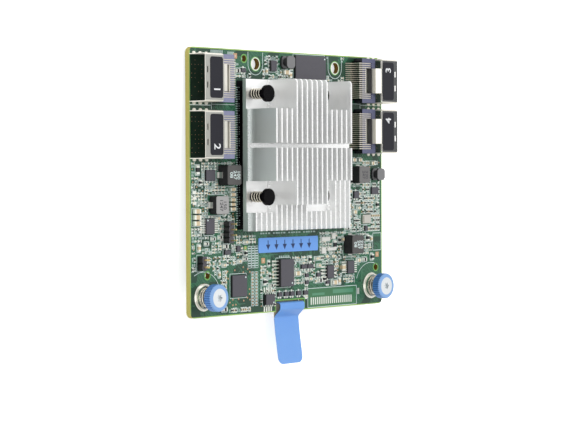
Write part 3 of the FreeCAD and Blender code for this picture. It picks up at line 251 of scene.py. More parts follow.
def sinkFinish():
    # milled pads, cut fin tops, drawn sides and the base's left flank reflect in their own ways, and the
    # sides near the left edge and the flank are tinted green-grey as a painted reflection of the board
    look = sinkLook
    f = Finish("extrudedAluminium")
    across, _, height = f.parts(f.place())
    up = f.facing()[2] > 0.6
    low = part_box("heat_sink")[0]
    flank = (across < low.x + 0.05 * mm) * (height < low.z + look["baseHeight"] * mm)
    pads = up * (height < low.z + look["padHeight"] * mm)
    drawn = f.noise(1500.0, 3.0, (1.0, 0.02, 1.0))
    milled = f.noise(1300.0, 2.0, (0.15, 1.0, 1.0))
    cloud = f.noise(70.0, 2.0)
    tint = f.mixed(cloud * 0.6, colour(252, 252, 251), colour(238, 240, 241))
    # painted reflection: the outer sides and the base's left flank are tinted green-grey, the board seen in
    # the metal
    outer = (1 - up) * (across < low.x + look["outerReach"] * mm)
    tint = f.mixed(outer * (1 - cloud * 0.3), tint, colour(196, 204, 202))
    tint = f.mixed(flank, tint, colour(188, 204, 198))
    streaks = drawn * (1 - up) + milled * up
    metal = (pads * (look["padMetal"] - look["topMetal"]) + up * look["topMetal"]
             + (1 - up) * look["sideMetal"] - flank * (look["sideMetal"] - look["flankMetal"]))
    rough = (1 - up) * look["sideRough"] + pads * look["padRough"] + (up - pads) * look["topRough"]
    return f.surface(colour=tint, metal=metal, rough=rough + streaks * 0.14 + (cloud - 0.5) * 0.06,
                     normal=f.bump(streaks, 0.006, 0.5))


def packageFinish():
    f = Finish("mouldedEpoxy")
    speck, cloud = f.noise(3600.0, 4.0, rough=0.65), f.noise(240.0, 2.0)
    top = f.facing()[2] > 0.6
    tint = f.mixed(speck * 0.7, colour(62, 61, 68), colour(98, 96, 104))
    tint = f.mixed(top, colour(20, 20, 24), tint)
    return f.surface(colour=tint, rough=0.5 + cloud * 0.12, normal=f.bump(speck, 0.01, 0.7))


def knobFinish():
    # crowns painted paler as a painted highlight, and flutes painted darker just inside both knobs' ridges as
    # painted shade
    f = Finish("blueKnob")
    upright = f.facing()[2]
    cloud = f.noise(300.0, 2.0)
    base = f.mixed(cloud * 0.35, colour(80, 138, 206), colour(66, 122, 192))
    # painted highlight: the upright crowns are painted a paler blue
    tint = f.mixed((upright > 0.55) * 0.8, base, colour(142, 182, 232))
    x, y = f.parts(f.place())[:2]
    squares = []
    for side in sides:
        low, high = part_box(side + "_screw_knob")
        middle = (low + high) / 2
        squares.append((x - middle.x) * (x - middle.x) + (y - middle.y) * (y - middle.y))
    ridge = (high.x - low.x) / 2 - 0.06 * mm
    # painted shade: the flutes just inside the ridges are painted a darker blue
    fluteShade = (squares[0].smaller(squares[1]) < ridge * ridge) * (abs(upright) < 0.3)
    tint = f.mixed(fluteShade * 0.8, tint, colour(40, 88, 158))
    skin = f.noise(2800.0)
    return f.surface(colour=tint, rough=0.4 + skin * 0.12, normal=f.bump(skin, 0.008, 0.5), coat=0.12)


tabLook = {"linerHeight": 0.12, "linerStart": 17.6}


def filmFinish():
    # blue film, with a paper liner on the part that lies low in the notch
    f = Finish("blueFilm")
    along, height = f.parts(f.place())[1:]
    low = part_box("pull_tab")[0]
    liner = ((height < boardLow.z + tabLook["linerHeight"] * mm)
             * (along > low.y + tabLook["linerStart"] * mm))
    cloud = f.noise(120.0, 2.0)
    base = f.mixed(cloud * 0.6, colour(112, 168, 240), colour(98, 154, 230))
    tint = f.mixed(liner, base, colour(222, 210, 176))
    skin = f.noise(1600.0)
    return f.surface(colour=tint, rough=0.42 + skin * 0.1, normal=f.bump(skin, 0.01, 0.4), coat=0.15,
                     subsurface=0.05)


chokeFoot = {"inset": 0.27, "half": 1.12, "share": 0.45, "rise": 0.05}


def chokeFinish(node, crown):
    # moulded block with two tinned feet let into opposite faces
    f = Finish(node + "Ferrite")
    low, high = nodeBox(node)
    middle = at(*topOf(node)[:2])
    x, y, z = f.parts(f.place())
    wide = (high.x - low.x) > (high.y - low.y)
    half = min(high.x - low.x, high.y - low.y) / 2
    out, side = (x - middle.x, y - middle.y) if wide else (y - middle.y, x - middle.x)
    footTop = boardHigh.z + (high.z * chokeFoot["share"] + chokeFoot["rise"]) * mm
    foot = ((abs(out) > (half - chokeFoot["inset"]) * mm) * (abs(side) < chokeFoot["half"] * mm)
            * (z < footTop))
    speck = f.noise(3000.0, 4.0, rough=0.65)
    top = f.facing()[2] > 0.6
    body = f.mixed(top, colour(16, 16, 19), colour(crown, crown - 1, crown - 2))
    body = f.mixed(speck * top * 0.3, body, colour(crown - 34, crown - 34, crown - 34))
    tint = f.mixed(foot, body, colour(206, 206, 202))
    return f.surface(colour=tint, metal=foot, rough=0.6 - foot * 0.28 + speck * 0.1,
                     normal=f.bump(speck, 0.012, 0.6))


def shellFinish(name, roof):
    # the drawn roof reflects less than the bent edges, the rear lip and the strap, which are also painted
    # near white as a painted highlight
    f = Finish(name)
    height = f.parts(f.place())[2]
    flat = (f.facing()[2] > 0.9) * (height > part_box("port_1_shell")[1].z - 0.08 * mm)
    brush = f.noise(900.0, 3.0, (1.0, 0.06, 1.0))
    # painted highlight: every face but the flat roof is painted near white
    return f.surface(colour=f.mixed(flat, colour(240, 237, 226), colour(*roof)), metal=flat * 0.4 + 0.35,
                     rough=0.34 + brush * 0.16, normal=f.bump(brush, 0.004, 0.6))


def drumFinish():
    f = Finish("ferrite")
    top = f.facing()[2] > 0.6
    skin = f.noise(2600.0)
    return f.surface(colour=f.mixed(top, colour(38, 38, 42), colour(122, 122, 124)), rough=0.5 + skin * 0.12,
                     normal=f.bump(skin, 0.006, 0.5))


def housingFinish(name, light, deep):
    # only the top of the moulding keeps its mottled tint, as if it alone catches the light; its grooves,
    # sides and ends are painted near black as painted shade
    f = Finish(name)
    height = f.parts(f.place())[2]
    top = (f.facing()[2] > 0.6) * (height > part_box("port_1_housing")[1].z - 0.06 * mm)
    mottle = f.noise(1300.0, 4.0, rough=0.6)
    lit = f.mixed(mottle * 0.8, colour(*light), colour(*deep))
    # painted shade: all faces but the top are painted near black
    return f.surface(colour=f.mixed(top, colour(14, 15, 26), lit), rough=0.5,
                     normal=f.bump(mottle, 0.008, 0.5))


metals = {  # tint and roughness
    "contactTin": ((214, 209, 198), 0.26), "windowSteel": ((188, 190, 176), 0.3),
    "tin": ((232, 234, 226), 0.36), "gold": ((222, 198, 144), 0.26), "springSteel": ((226, 220, 204), 0.2),
    "zinc": ((224, 223, 214), 0.15), "screwHead": ((228, 232, 234), 0.3),
    "oscillatorLid": ((196, 194, 186), 0.34),
}
plastics = {  # tint, roughness and, where they aren't usual, specular level and coat
    "shadow": ((10, 10, 14), 0.6, 0.1), "deepGreen": ((34, 54, 43), 0.5, 0.15),
    "paleTeal": ((190, 214, 208), 0.5), "cream": ((244, 240, 228), 0.45),
    "copperPad": ((206, 160, 124), 0.4), "silicone": ((190, 192, 198), 0.8),
    "blackPlastic": ((8, 7, 10), 0.26, 0.06), "capTan": ((220, 200, 164), 0.55),
    "resistorBlack": ((26, 28, 32), 0.45), "whiteCeramic": ((226, 226, 220), 0.5),
    "trackMask": ((84, 146, 112), 0.36, 0.5, 0.2), "openGreen": ((58, 116, 76), 0.4),
    "ringGreen": ((116, 178, 88), 0.4),
}
inks = {  # the same
    "blackLabel": ((32, 32, 40), 0.62, 0.25), "blueLabel": ((112, 164, 236), 0.55),
    "darkInk": ((34, 52, 92), 0.6), "greyInk": ((74, 74, 78), 0.6), "whiteInk": ((236, 238, 240), 0.6),
    "silkInk": ((222, 238, 236), 0.7),
}
finishes = {
    "laminate": solderMaskFinish(),
    "aluminium": sinkFinish(),
    "epoxy": packageFinish(),
    "knob": knobFinish(),
    "film": filmFinish(),
    "ferrite": drumFinish(),
    "leftShellSteel": shellFinish("leftShellSteel", (164, 164, 158)),
    # the right shells take a darker copy of the same steel, painted shade
    "rightShellSteel": shellFinish("rightShellSteel", (88, 89, 90)),
    "leftHousing": housingFinish("leftHousing", (146, 148, 178), (116, 119, 150)),
    # the right housings take a darker copy of the same lavender, painted shade
    "rightHousing": housingFinish("rightHousing", (98, 101, 130), (72, 76, 104)),
}
for makeFinish, looks in ((metalFinish, metals), (plasticFinish, plastics), (inkFinish, inks)):
    for finish, look in looks.items():
        finishes[finish] = makeFinish(finish, *look)
print("materials made:", len(finishes))


# The frame's own pieces get their finishes
def dress(name, material):
    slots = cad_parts[name].data.materials
    if len(slots) == 0:
        slots.append(material)
    for i in range(len(slots)):
        slots[i] = material


dressed = {
    "laminate": ["circuit_board"], "aluminium": ["heat_sink"], "silicone": ["thermal_pad"],
    "film": ["pull_tab"], "blueLabel": ["install_label"], "ferrite": ["drum_chokes"],
    "tin": ["chip_leads"], "oscillatorLid": ["oscillator"], "capTan": ["ceramic_capacitors"],
    "gold": ["mezzanine_contacts", "serial_header_pins", "jumper_header_pins"],
    "epoxy": ["controller_chip", "serial_header_housing", "jumper_header_housing", "small_packages"] + chips,
    "blackPlastic": ["mezzanine_housing"] + ["%s_%s_push_pin" % (a, b) for a in levels for b in sides],
    "leftShellSteel": ["port_1_shell", "port_2_shell"], "rightShellSteel": ["port_3_shell", "port_4_shell"],
    "leftHousing": ["port_1_housing", "port_2_housing"],
    "rightHousing": ["port_3_housing", "port_4_housing"],
    "contactTin": ["port_%s_contacts" % number for number in ports],
    "blackLabel": ["port_%s_label" % number for number in ports],
    "zinc": [side + "_screw_ferrule" for side in sides],
    "screwHead": [side + "_captive_screw" for side in sides],
    "knob": [side + "_screw_knob" for side in sides],
}
for finish, nodes in dressed.items():
    for node in nodes:
        dress(node, finishes[finish])
for node, look in chokes.items():
    dress(node, chokeFinish(node, look["crown"]))


# Modelling helpers
laid = {"paint": 0.02, "mark": 0.03, "foil": 0.04, "pad": 0.05}  # thickness of what lies on the board


def newObject(name, data):
    made = bpy.data.objects.new(name, data)
    bpy.context.scene.collection.objects.link(made)
    return made


def piece(name, bm, finish, rider="card", smooth=False):
    bmesh.ops.recalc_face_normals(bm, faces=bm.faces)
    mesh = bpy.data.meshes.new(name)
    bm.to_mesh(mesh)
    bm.free()
    made = newObject(name, mesh)
    mesh.materials.append(finishes[finish])
    if smooth:
        mesh.shade_smooth()
    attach(made, rider)
    return made


def meshed(name, curve):  # the shape of a text or a curve, as a bmesh
    drawn = newObject(name, curve)
    bpy.context.view_layer.update()
    mesh = bpy.data.meshes.new_from_object(drawn)
    bpy.data.objects.remove(drawn)
    bm = bmesh.new()
    bm.from_mesh(mesh)
    bpy.data.meshes.remove(mesh)
    return bm


def block(bm, x0, x1, y0, y1, z0, z1):
    centre = at((x0 + x1) / 2, (y0 + y1) / 2, (z0 + z1) / 2)
    size = Vector((abs(x1 - x0), abs(y1 - y0), abs(z1 - z0), 1.0 / mm)) * mm
    bmesh.ops.create_cube(bm, size=1.0, matrix=Matrix.Translation(centre) @ Matrix.Diagonal(size))


def turnedBlock(bm, upright, a0, a1, b0, b1, z0, z1):
    # a runs along x and b along y, or the other way round where the part stands upright
    spans = (b0, b1, a0, a1) if upright else (a0, a1, b0, b1)
    block(bm, *spans, z0, z1)


inkWidth = 0.2


def stroke(bm, start, end, width=inkWidth):
    # one printed line, as a thin bar lying on the board
    (x0, y0), (x1, y1) = start, end
    length = math.hypot(x1 - x0, y1 - y0) + width
    turn = Matrix.Rotation(math.atan2(y1 - y0, x1 - x0), 4, "Z")
    centre = at((x0 + x1) / 2, (y0 + y1) / 2, laid["mark"] / 2)
    size = Matrix.Diagonal(Vector((length, width, laid["mark"], 1.0 / mm)) * mm)
    bmesh.ops.create_cube(bm, size=1.0, matrix=Matrix.Translation(centre) @ turn @ size)


def outline(bm, x0, x1, y0, y1, width=inkWidth):
    for y in (y0, y1):
        stroke(bm, (x0, y), (x1, y), width)
    for x in (x0, x1):
        stroke(bm, (x, y0), (x, y1), width)


def turned(bm, x, y, profile, steps=40, start=0.0, sweep=360.0):
    # a closed section of radius and height, spun about an upright axis at x, y
    turn = Matrix.Rotation(math.radians(start), 3, "Z")
    corners = [bm.verts.new(at(x, y, z) + turn @ Vector((r * mm, 0, 0))) for r, z in profile]
    section = bm.faces.new(corners)
    geom = list(section.edges) + corners
    if sweep >= 360.0:
        bmesh.ops.delete(bm, geom=[section], context="FACES_ONLY")
        bmesh.ops.spin(bm, geom=geom, cent=at(x, y), axis=(0, 0, 1), angle=math.tau, steps=steps,
                       use_merge=True)
    else:
        bmesh.ops.spin(bm, geom=geom + [section], cent=at(x, y), axis=(0, 0, 1),
                       angle=math.radians(sweep), steps=steps)


def ring(bm, x, y, inner, outer, z0, z1, steps=40, start=0.0, sweep=360.0):
    turned(bm, x, y, [(inner, z0), (outer, z0), (outer, z1), (inner, z1)], steps, start, sweep)


def disc(bm, x, y, radius, z0, z1, segments):
    middle = at(x, y, (z0 + z1) / 2)
    bmesh.ops.create_cone(bm, cap_ends=True, segments=segments, radius1=radius * mm, radius2=radius * mm,
                          depth=(z1 - z0) * mm, matrix=Matrix.Translation(middle))


# Coil springs, each in place of its plain tube
springWire = {"pinWire": 0.2, "pinTurns": 5.0, "screwWire": 0.3, "screwTurns": 5.0, "stepsPerTurn": 20,
              "roundness": 10}


def coilSpring(name, node, wire, turns):
    low, high = nodeBox(node)
    middle = (low + high) / 2
    radius = (high.x - low.x) / 2 - wire
    length = high.z - low.z - 2 * wire
    steps = int(turns * springWire["stepsPerTurn"])
    bm = bmesh.new()
    start = at(middle.x + radius, middle.y, low.z + wire)
    section = Matrix.Translation(start) @ Matrix.Rotation(math.pi / 2, 4, "X")
    made = bmesh.ops.create_circle(bm, segments=springWire["roundness"], radius=wire * mm, matrix=section)
    bmesh.ops.spin(bm, geom=made["verts"] + list(bm.edges), cent=at(middle.x, middle.y), axis=(0, 0, 1),
                   angle=turns * math.tau, steps=steps, dvec=Vector((0, 0, length * mm / steps)))
    bmesh.ops.holes_fill(bm, edges=[e for e in bm.edges if e.is_boundary], sides=12)
    spring = piece(name, bm, "springSteel", smooth=True)
    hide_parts(node)
    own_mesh(spring)


for side in sides:
    for level in levels:
        coilSpring("%s_%s_pin_coil" % (level, side), "%s_%s_pin_spring" % (level, side),
                   springWire["pinWire"], springWire["pinTurns"])
    coilSpring(side + "_screw_coil", side + "_screw_spring", springWire["screwWire"],
               springWire["screwTurns"])
print("springs wound")

# Plain numerals: one on each port label, rows of value numbers on the power chokes
digits = {"port": 4.6, "inset": 3.1, "choke": 2.2, "row": 1.9, "thick": 0.015, "bold": 0.012, "lift": 0.01}


def numeral(name, text, x, y, z, size, finish, turn=-90.0):
    curve = bpy.data.curves.new(name, "FONT")
    curve.body = text
    curve.size = size * mm
    curve.extrude = digits["thick"] * mm
    curve.offset = digits["bold"] * size * mm
    curve.align_x = "CENTER"
    curve.align_y = "CENTER"
    bm = meshed(name + "_outline", curve)
    place = Matrix.Translation(at(x, y, z + digits["lift"])) @ Matrix.Rotation(math.radians(turn), 4, "Z")
    bmesh.ops.transform(bm, matrix=place, verts=bm.verts)
    bmesh.ops.remove_doubles(bm, verts=bm.verts, dist=1e-7)
    piece(name, bm, finish)


for number, (mouth, inwards) in ports.items():
    low, high = nodeBox("port_%s_label" % number)
    y = low.y + digits["inset"] if inwards > 0 else high.y - digits["inset"]
    numeral("port_%s_numeral" % number, number, (low.x + high.x) / 2, y, high.z, digits["port"], "whiteInk",
            -90.0 * inwards)
for name, look in chokes.items():
    x, y, top = topOf(name)
    rowPlaces = spread(x, len(look["rows"]), -digits["row"])
    for i, (value, rowX) in enumerate(zip(look["rows"], rowPlaces)):
        numeral("%s_value_%d" % (name, i + 1), value, rowX, y, top, digits["choke"], look["ink"])

# The label over the connector: arrows that point at the place to press
arrow = {"row": (6, 4.7), "stem": 0.42, "head": 1.35, "height": 3.6, "thick": 0.03}
labelX, labelY, top = topOf("install_label")
tail = labelY + arrow["height"] / 2
neck = tail - arrow["height"] + 1.5 * arrow["head"]
bm = bmesh.new()
for x in spread(labelX, *arrow["row"]):
    block(bm, x - arrow["stem"] / 2, x + arrow["stem"] / 2, neck, tail, top, top + arrow["thick"])
    head = at(x, neck - arrow["head"] / 2, top + arrow["thick"] / 2)
    bmesh.ops.create_cone(bm, cap_ends=True, segments=3, radius1=arrow["head"] * mm,
                          radius2=arrow["head"] * mm, depth=arrow["thick"] * mm,
                          matrix=Matrix.Translation(head) @ Matrix.Rotation(math.pi, 4, "Z"))
piece("press_arrows", bm, "darkInk")

# Inside the receptacles: a sprung steel plate in each window, and painted shade: a dark green plate on each
# floor, black plates in the gap behind the legs and under the left roofs' latch slots
window = {"half": 4.85, "front": 12.65, "rear": 16.15, "floor": 3.3, "sheet": 0.06, "step": 4.15, "top": 5.0,
          "lip": 5.4, "thinBar": 0.16, "wideBar": 0.42, "wall": (0.02, 0.1)}
recess = {"gap": (18.35, 18.85, 7.6, 0.25, 4.5), "floor": (0.5, 9.0, 8.2, 0.0, laid["paint"]),
          "roofSlot": (0.95, 2.3, 4.2, 7.3, 7.36)}  # from and to behind the mouth, half width, heights
plates, bars, lips, gaps, floors = (bmesh.new() for _ in range(5))
for number, (mouth, inwards) in ports.items():
    y = topOf("port_%s_housing" % number)[1]
    front, rear, half = window["front"], window["rear"], window["half"]
    base, ledge = window["floor"] + window["sheet"], window["step"] + window["thinBar"]
    wallFront, wallBack = window["wall"]
    fittings = [(plates, front, rear, half, window["floor"], base),
                (bars, rear - window["thinBar"], rear, half, base, window["step"]),
                (bars, rear - window["wideBar"], rear, half, ledge, window["top"]),
                (lips, front + wallFront, front + wallBack, half, base, window["lip"]),
                (gaps, *recess["gap"]), (floors, *recess["floor"])]
    # painted shade: a black plate under the latch slots in the left shells' roofs
    if inwards > 0:
        fittings.append((gaps, *recess["roofSlot"]))
    for bm, u0, u1, half, z0, z1 in fittings:
        block(bm, mouth + inwards * u0, mouth + inwards * u1, y - half, y + half, z0, z1)
# painted shade: a dark green plate on each receptacle's floor
piece("receptacle_floor_shade", floors, "deepGreen")
piece("window_plates", plates, "windowSteel")
piece("window_bars", bars, "cream")
piece("window_walls", lips, "greyInk")
# painted shade: black plates in the gaps behind the contact legs
piece("contact_gap_shade", gaps, "shadow")


# Where small parts may stand: bare board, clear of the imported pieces
def castable(names):  # nodes of the frame, as one body that a ray can meet
    corners, faces = [], []
    for name in names:
        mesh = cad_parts[name].data
        first = len(corners)
        corners.extend(v.co.copy() for v in mesh.vertices)
        faces.extend([first + i for i in p.vertices] for p in mesh.polygons)
    return BVHTree.FromPolygons(corners, faces)


standing = castable(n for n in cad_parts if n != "circuit_board")
ground = castable(["circuit_board"])
keepClear = [  # x from, x to, y from, y to: the ports' floors and whatever is drawn by itself
    (-19.6, -16.4, 27, 45), (-55, -45, 30, 46.6), (-55, -45, 9, 26), (45, 55, 31, 47.6), (45, 55, 11, 28),
    (9.5, 39.5, -48.8, -40.6), (-19.4, 16.2, -27.2, -20.3), (49, 55, -28, -20), (-24.6, -18, -32.4, -23.2),
    (-22.8, -18.4, -46.4, -32.6), (-17.3, -14.2, -31.0, -27.6), (-32.4, -29.0, 44.9, 48.2),
    (50.2, 53.6, -31, -27.6), (-35.6, -22.8, -45.4, -30.8),
]
toolingHoles = [(-26.0, 45.7), (-46.0, -33.8), (51.0, -34.4)]
guideHoles = [(-19.7, 43.9), (26.1, 43.9)]
guideRing = {"hole": 2.12, "ring": 2.45, "halo": 2.75, "arc": 4.05}
screwPlaces = [topOf(side + "_screw_ferrule")[:2] for side in sides]
bareRound = {"tooling": 2.6, "guide": 4.3, "screw": 9.6}  # radius left bare round each
holeReach = ([(hole, bareRound["tooling"]) for hole in toolingHoles]
             + [(hole, bareRound["guide"]) for hole in guideHoles])
knobReach = [(place, bareRound["screw"]) for place in screwPlaces]


def isFree(x, y, halfX, halfY, side=1):
    reaches, rooms = (holeReach + knobReach, keepClear) if side > 0 else (holeReach, [])
    for px in (x - halfX, x, x + halfX):
        for py in (y - halfY, y, y + halfY):
            if any(math.hypot(px - cx, py - cy) < reach for (cx, cy), reach in reaches):
                return False
            if any(x0 < px < x1 and y0 < py < y1 for x0, x1, y0, y1 in rooms):
                return False
            start, down = at(px, py, 40 * side), Vector((0, 0, -side))
            if standing.ray_cast(start, down)[0] is not None or ground.ray_cast(start, down)[0] is None:
                return False
    return True


def islands(name):
    # the separate blocks that one node of the frame holds, each as the box round it
    bm = bmesh.new()
    bm.from_mesh(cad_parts[name].data)
    bmesh.ops.remove_doubles(bm, verts=bm.verts, dist=1e-6)
    unseen = set(bm.verts)
    boxes = []
    while unseen:
        points, waiting = [], [unseen.pop()]
        while waiting:
            vert = waiting.pop()
            points.append(fromBoard(vert.co))
            for edge in vert.link_edges:
                other = edge.other_vert(vert)
                if other in unseen:
                    unseen.discard(other)
                    waiting.append(other)
        boxes.append([pick(p[axis] for p in points) for axis in range(3) for pick in (min, max)])
    bm.free()
    return sorted(boxes)


# Small chip parts: a body between two tinned ends on its pads, with printed lines beside it
smallPart = {"length": 1.0, "width": 0.52, "height": 0.5, "shrink": (0.7, 1.1), "pitch": (1.75, 1.08),
             "end": 0.24, "core": 0.94, "sunk": (0.02, 0.03), "padReach": 0.22, "padMargin": 0.08,
             "barePad": 0.42}
strokeRow = {"counts": (2, 3, 3, 4), "tall": (0.5, 0.65, 0.65), "pitch": 0.42, "first": -0.6, "width": 0.17}
viaDot = {"radius": 0.28, "stray": 0.3}
tanBodies, blackBodies, tinEnds, inkLines, viaDots = (bmesh.new() for _ in range(5))
taken = []


def chipPart(x, y, length, width, height, upright, tan):
    a, b = (y, x) if upright else (x, y)
    cap, half = length * smallPart["end"], width / 2
    reach, pad = length / 2 + smallPart["padReach"], half + smallPart["padMargin"]
    inner, core = length / 2 - cap * 0.7, half * smallPart["core"]
    under, over = smallPart["sunk"]
    turnedBlock(tanBodies if tan else blackBodies, upright, a - inner, a + inner, b - core, b + core,
                under, height - over)
    for sign in (-1, 1):
        end = (a + sign * length / 2, a + sign * (length / 2 - cap), b - half, b + half)
        solder = (a + sign * reach, a + sign * (length / 2 - cap - 0.05), b - pad, b + pad)
        turnedBlock(tinEnds, upright, *end, 0, height)
        turnedBlock(tinEnds, upright, *solder, 0, laid["foil"])


def padPair(x, y, length, width, upright):
    a, b = (y, x) if upright else (x, y)
    reach = smallPart["padReach"]
    for sign in (-1, 1):
        middle = a + sign * length * smallPart["barePad"]
        turnedBlock(tinEnds, upright, middle - reach, middle + reach, b - width / 2, b + width / 2,
                    0, laid["foil"])


def bar(x, y, half, upright, width=inkWidth):
    reachX, reachY = (0, half) if upright else (half, 0)
    stroke(inkLines, (x - reachX, y - reachY), (x + reachX, y + reachY), width)


def frameLines(x, y, halfX, halfY, upright):
    for sign in (-1, 1):
        if upright:
            bar(x + sign * halfX, y, halfY, True)
        else:
            bar(x, y + sign * halfY, halfX, False)


def marks(x, y, upright):  # a few short strokes where a part's place is numbered
    for i in range(rng.choice(strokeRow["counts"])):
        half = rng.choice(strokeRow["tall"]) / 2
        step = i * strokeRow["pitch"] + strokeRow["first"]
        place = (x, y + step) if upright else (x + step, y)
        bar(*place, half, not upright, strokeRow["width"])


def via(x, y, base=0.0):
    outer = base - laid["mark"] if base < 0 else base + laid["mark"]
    disc(viaDots, x, y, viaDot["radius"], min(base, outer), max(base, outer), 8)


def isTaken(x, y, halfX, halfY):
    return any(abs(x - tx) < halfX + hx and abs(y - ty) < halfY + hy for tx, ty, hx, hy in taken)


fields = [  # x from, x to, y from, y to, upright parts
    (-54.2, -31.0, -26.0, 8.0, False), (-54.2, -19.5, -48.0, -26.0, True), (-30.5, 35.0, -28.2, -18.6, False),
    (-24.0, -8.0, -47.0, -28.0, True), (-8.0, 12.0, -44.6, -27.5, False), (0.8, 30.0, -41.0, -27.0, True),
    (29.0, 54.2, -41.0, -20.0, False), (28.6, 54.2, -20.0, 9.6, True), (-24.5, 2.0, 38.6, 48.2, True),
    (-32.0, -24.0, 38.6, 48.4, False), (21.0, 33.0, 38.6, 48.4, False), (28.8, 32.5, 10.0, 38.0, True),
]
largerPart = {"tries": 70, "sizes": ((1.7, 0.9), (1.7, 0.9), (2.1, 1.3), (3.0, 1.6)), "height": (0.5, 0.9),
              "inset": 1.5, "skipped": 0.62, "tan": 0.55, "margin": (0.45, 0.35)}
mix = {"part": 0.56, "pads": 0.68, "marks": 0.93, "tan": 0.36, "framed": 0.9}  # shares of the places
for x0, x1, y0, y1, upright in fields:
    inset, (endMargin, sideMargin) = largerPart["inset"], largerPart["margin"]
    for _ in range(largerPart["tries"]):
        length, width = rng.choice(largerPart["sizes"])
        x, y = rng.uniform(x0 + inset, x1 - inset), rng.uniform(y0 + inset, y1 - inset)
        stand = rng.random() < 0.5
        halves = (length / 2 + endMargin, width / 2 + sideMargin)
        halfX, halfY = reversed(halves) if stand else halves
        if isTaken(x, y, halfX, halfY):
            continue
        if rng.random() < largerPart["skipped"] or not isFree(x, y, halfX, halfY):
            continue
        height = rng.uniform(*largerPart["height"])
        chipPart(x, y, length, width, height, stand, rng.random() < largerPart["tan"])
        outline(inkLines, x - halfX, x + halfX, y - halfY, y + halfY)
        taken.append((x, y, halfX, halfY))
placed = 0
for x0, x1, y0, y1, upright in fields:
    stepX, stepY = reversed(smallPart["pitch"]) if upright else smallPart["pitch"]
    halfX, halfY = stepX / 2 * 0.92, stepY / 2 * 0.92
    for i in range(int((x1 - x0) / stepX)):
        for j in range(int((y1 - y0) / stepY)):
            x, y = x0 + (i + 0.5) * stepX, y0 + (j + 0.5) * stepY
            if isTaken(x, y, halfX, halfY) or not isFree(x, y, halfX, halfY):
                continue
            chance = rng.random()
            if chance < mix["part"]:
                height = smallPart["height"] * rng.uniform(*smallPart["shrink"])
                chipPart(x, y, smallPart["length"], smallPart["width"], height, upright,
                         rng.random() < mix["tan"])
                if rng.random() < mix["framed"]:
                    frameLines(x, y, halfX, halfY, not upright)
                placed += 1
            elif chance < mix["pads"]:
                padPair(x, y, smallPart["length"], smallPart["width"], upright)
                frameLines(x, y, halfX, halfY, upright)
            elif chance < mix["marks"]:
                marks(x, y, upright)
            else:
                stray = viaDot["stray"]
                via(x + rng.uniform(-stray, stray), y + rng.uniform(-stray, stray))
            taken.append((x, y, halfX * 0.8, halfY * 0.8))
print("small parts placed:", placed)


def lengthwise(x0, x1, y0, y1):  # whether a box stands upright, its ends and its long sides
    upright = x1 - x0 <= y1 - y0
    return (upright, y0, y1, x0, x1) if upright else (upright, x0, x1, y0, y1)


# Larger capacitors of the frame: tinned ends over their bodies
capEnd = {"grow": 0.04, "share": 0.2, "bevel": 0.06, "frame": (0.45, 0.3)}
capEnds = bmesh.new()
for x0, x1, y0, y1, _, top in islands("ceramic_capacitors"):
    upright, a0, a1, b0, b1 = lengthwise(x0, x1, y0, y1)
    cap, grow = (a1 - a0) * capEnd["share"], capEnd["grow"]
    turnedBlock(capEnds, upright, a0 - grow, a0 + cap, b0 - grow, b1 + grow, 0.0, top + grow)
    turnedBlock(capEnds, upright, a1 - cap, a1 + grow, b0 - grow, b1 + grow, 0.0, top + grow)
    if not upright:
        marginX, marginY = capEnd["frame"]
        outline(inkLines, x0 - marginX, x1 + marginX, y0 - marginY, y1 + marginY)
bmesh.ops.bevel(capEnds, geom=list(capEnds.edges), offset=capEnd["bevel"] * mm, segments=1, profile=0.5,
                material=-1, affect="EDGES")
piece("capacitor_ends", capEnds, "tin")

# Small packages: three flat legs on one side, or two on the smallest, and one fewer on the other
leg = {"reach": 0.75, "width": 0.62, "height": 0.22, "longest": 3.5, "frame": 0.3}
for x0, x1, y0, y1, _, _ in islands("small_packages"):
    upright, a0, a1, b0, b1 = lengthwise(x0, x1, y0, y1)
    count = 2 if a1 - a0 < leg["longest"] else 3
    half = leg["width"] / 2
    for legs, edge, sign in ((count, b0, -1), (max(1, count - 1), b1, 1)):
        for a in spread((a0 + a1) / 2, legs, (a1 - a0) / count):
            turnedBlock(tinEnds, upright, a - half, a + half, edge, edge + sign * leg["reach"], 0,
                        leg["height"])
    outline(inkLines, x0 - leg["frame"], x1 + leg["frame"], y0 - leg["frame"], y1 + leg["frame"])

# Solder pads under the wide leads
leadPads = {  # leads in a row, their pitch, width of a pad, rows at the left and right
    "bus_chip": (8, 1.27, 0.7, True), "level_shifter_chip": (4, 1.27, 0.7, True),
    "supervisor_chip": (4, 1.27, 0.7, False), "left_driver_chip": (8, 0.65, 0.36, True),
    "right_driver_chip": (6, 0.8, 0.42, True),
}
leadPadSpan = {"near": 0.8, "far": 2.6}
for name, (count, pitch, width, sideways) in leadPads.items():
    low, high = nodeBox(name)
    axis, other = (0, 1) if sideways else (1, 0)
    middle, edge = (low + high) / 2, (high[axis] - low[axis]) / 2
    near, far = edge + leadPadSpan["near"], edge + leadPadSpan["far"]
    for b in spread(middle[other], count, pitch):
        for sign in (-1, 1):
            turnedBlock(tinEnds, not sideways, middle[axis] + sign * near, middle[axis] + sign * far,
                        b - width / 2, b + width / 2, 0, laid["pad"])

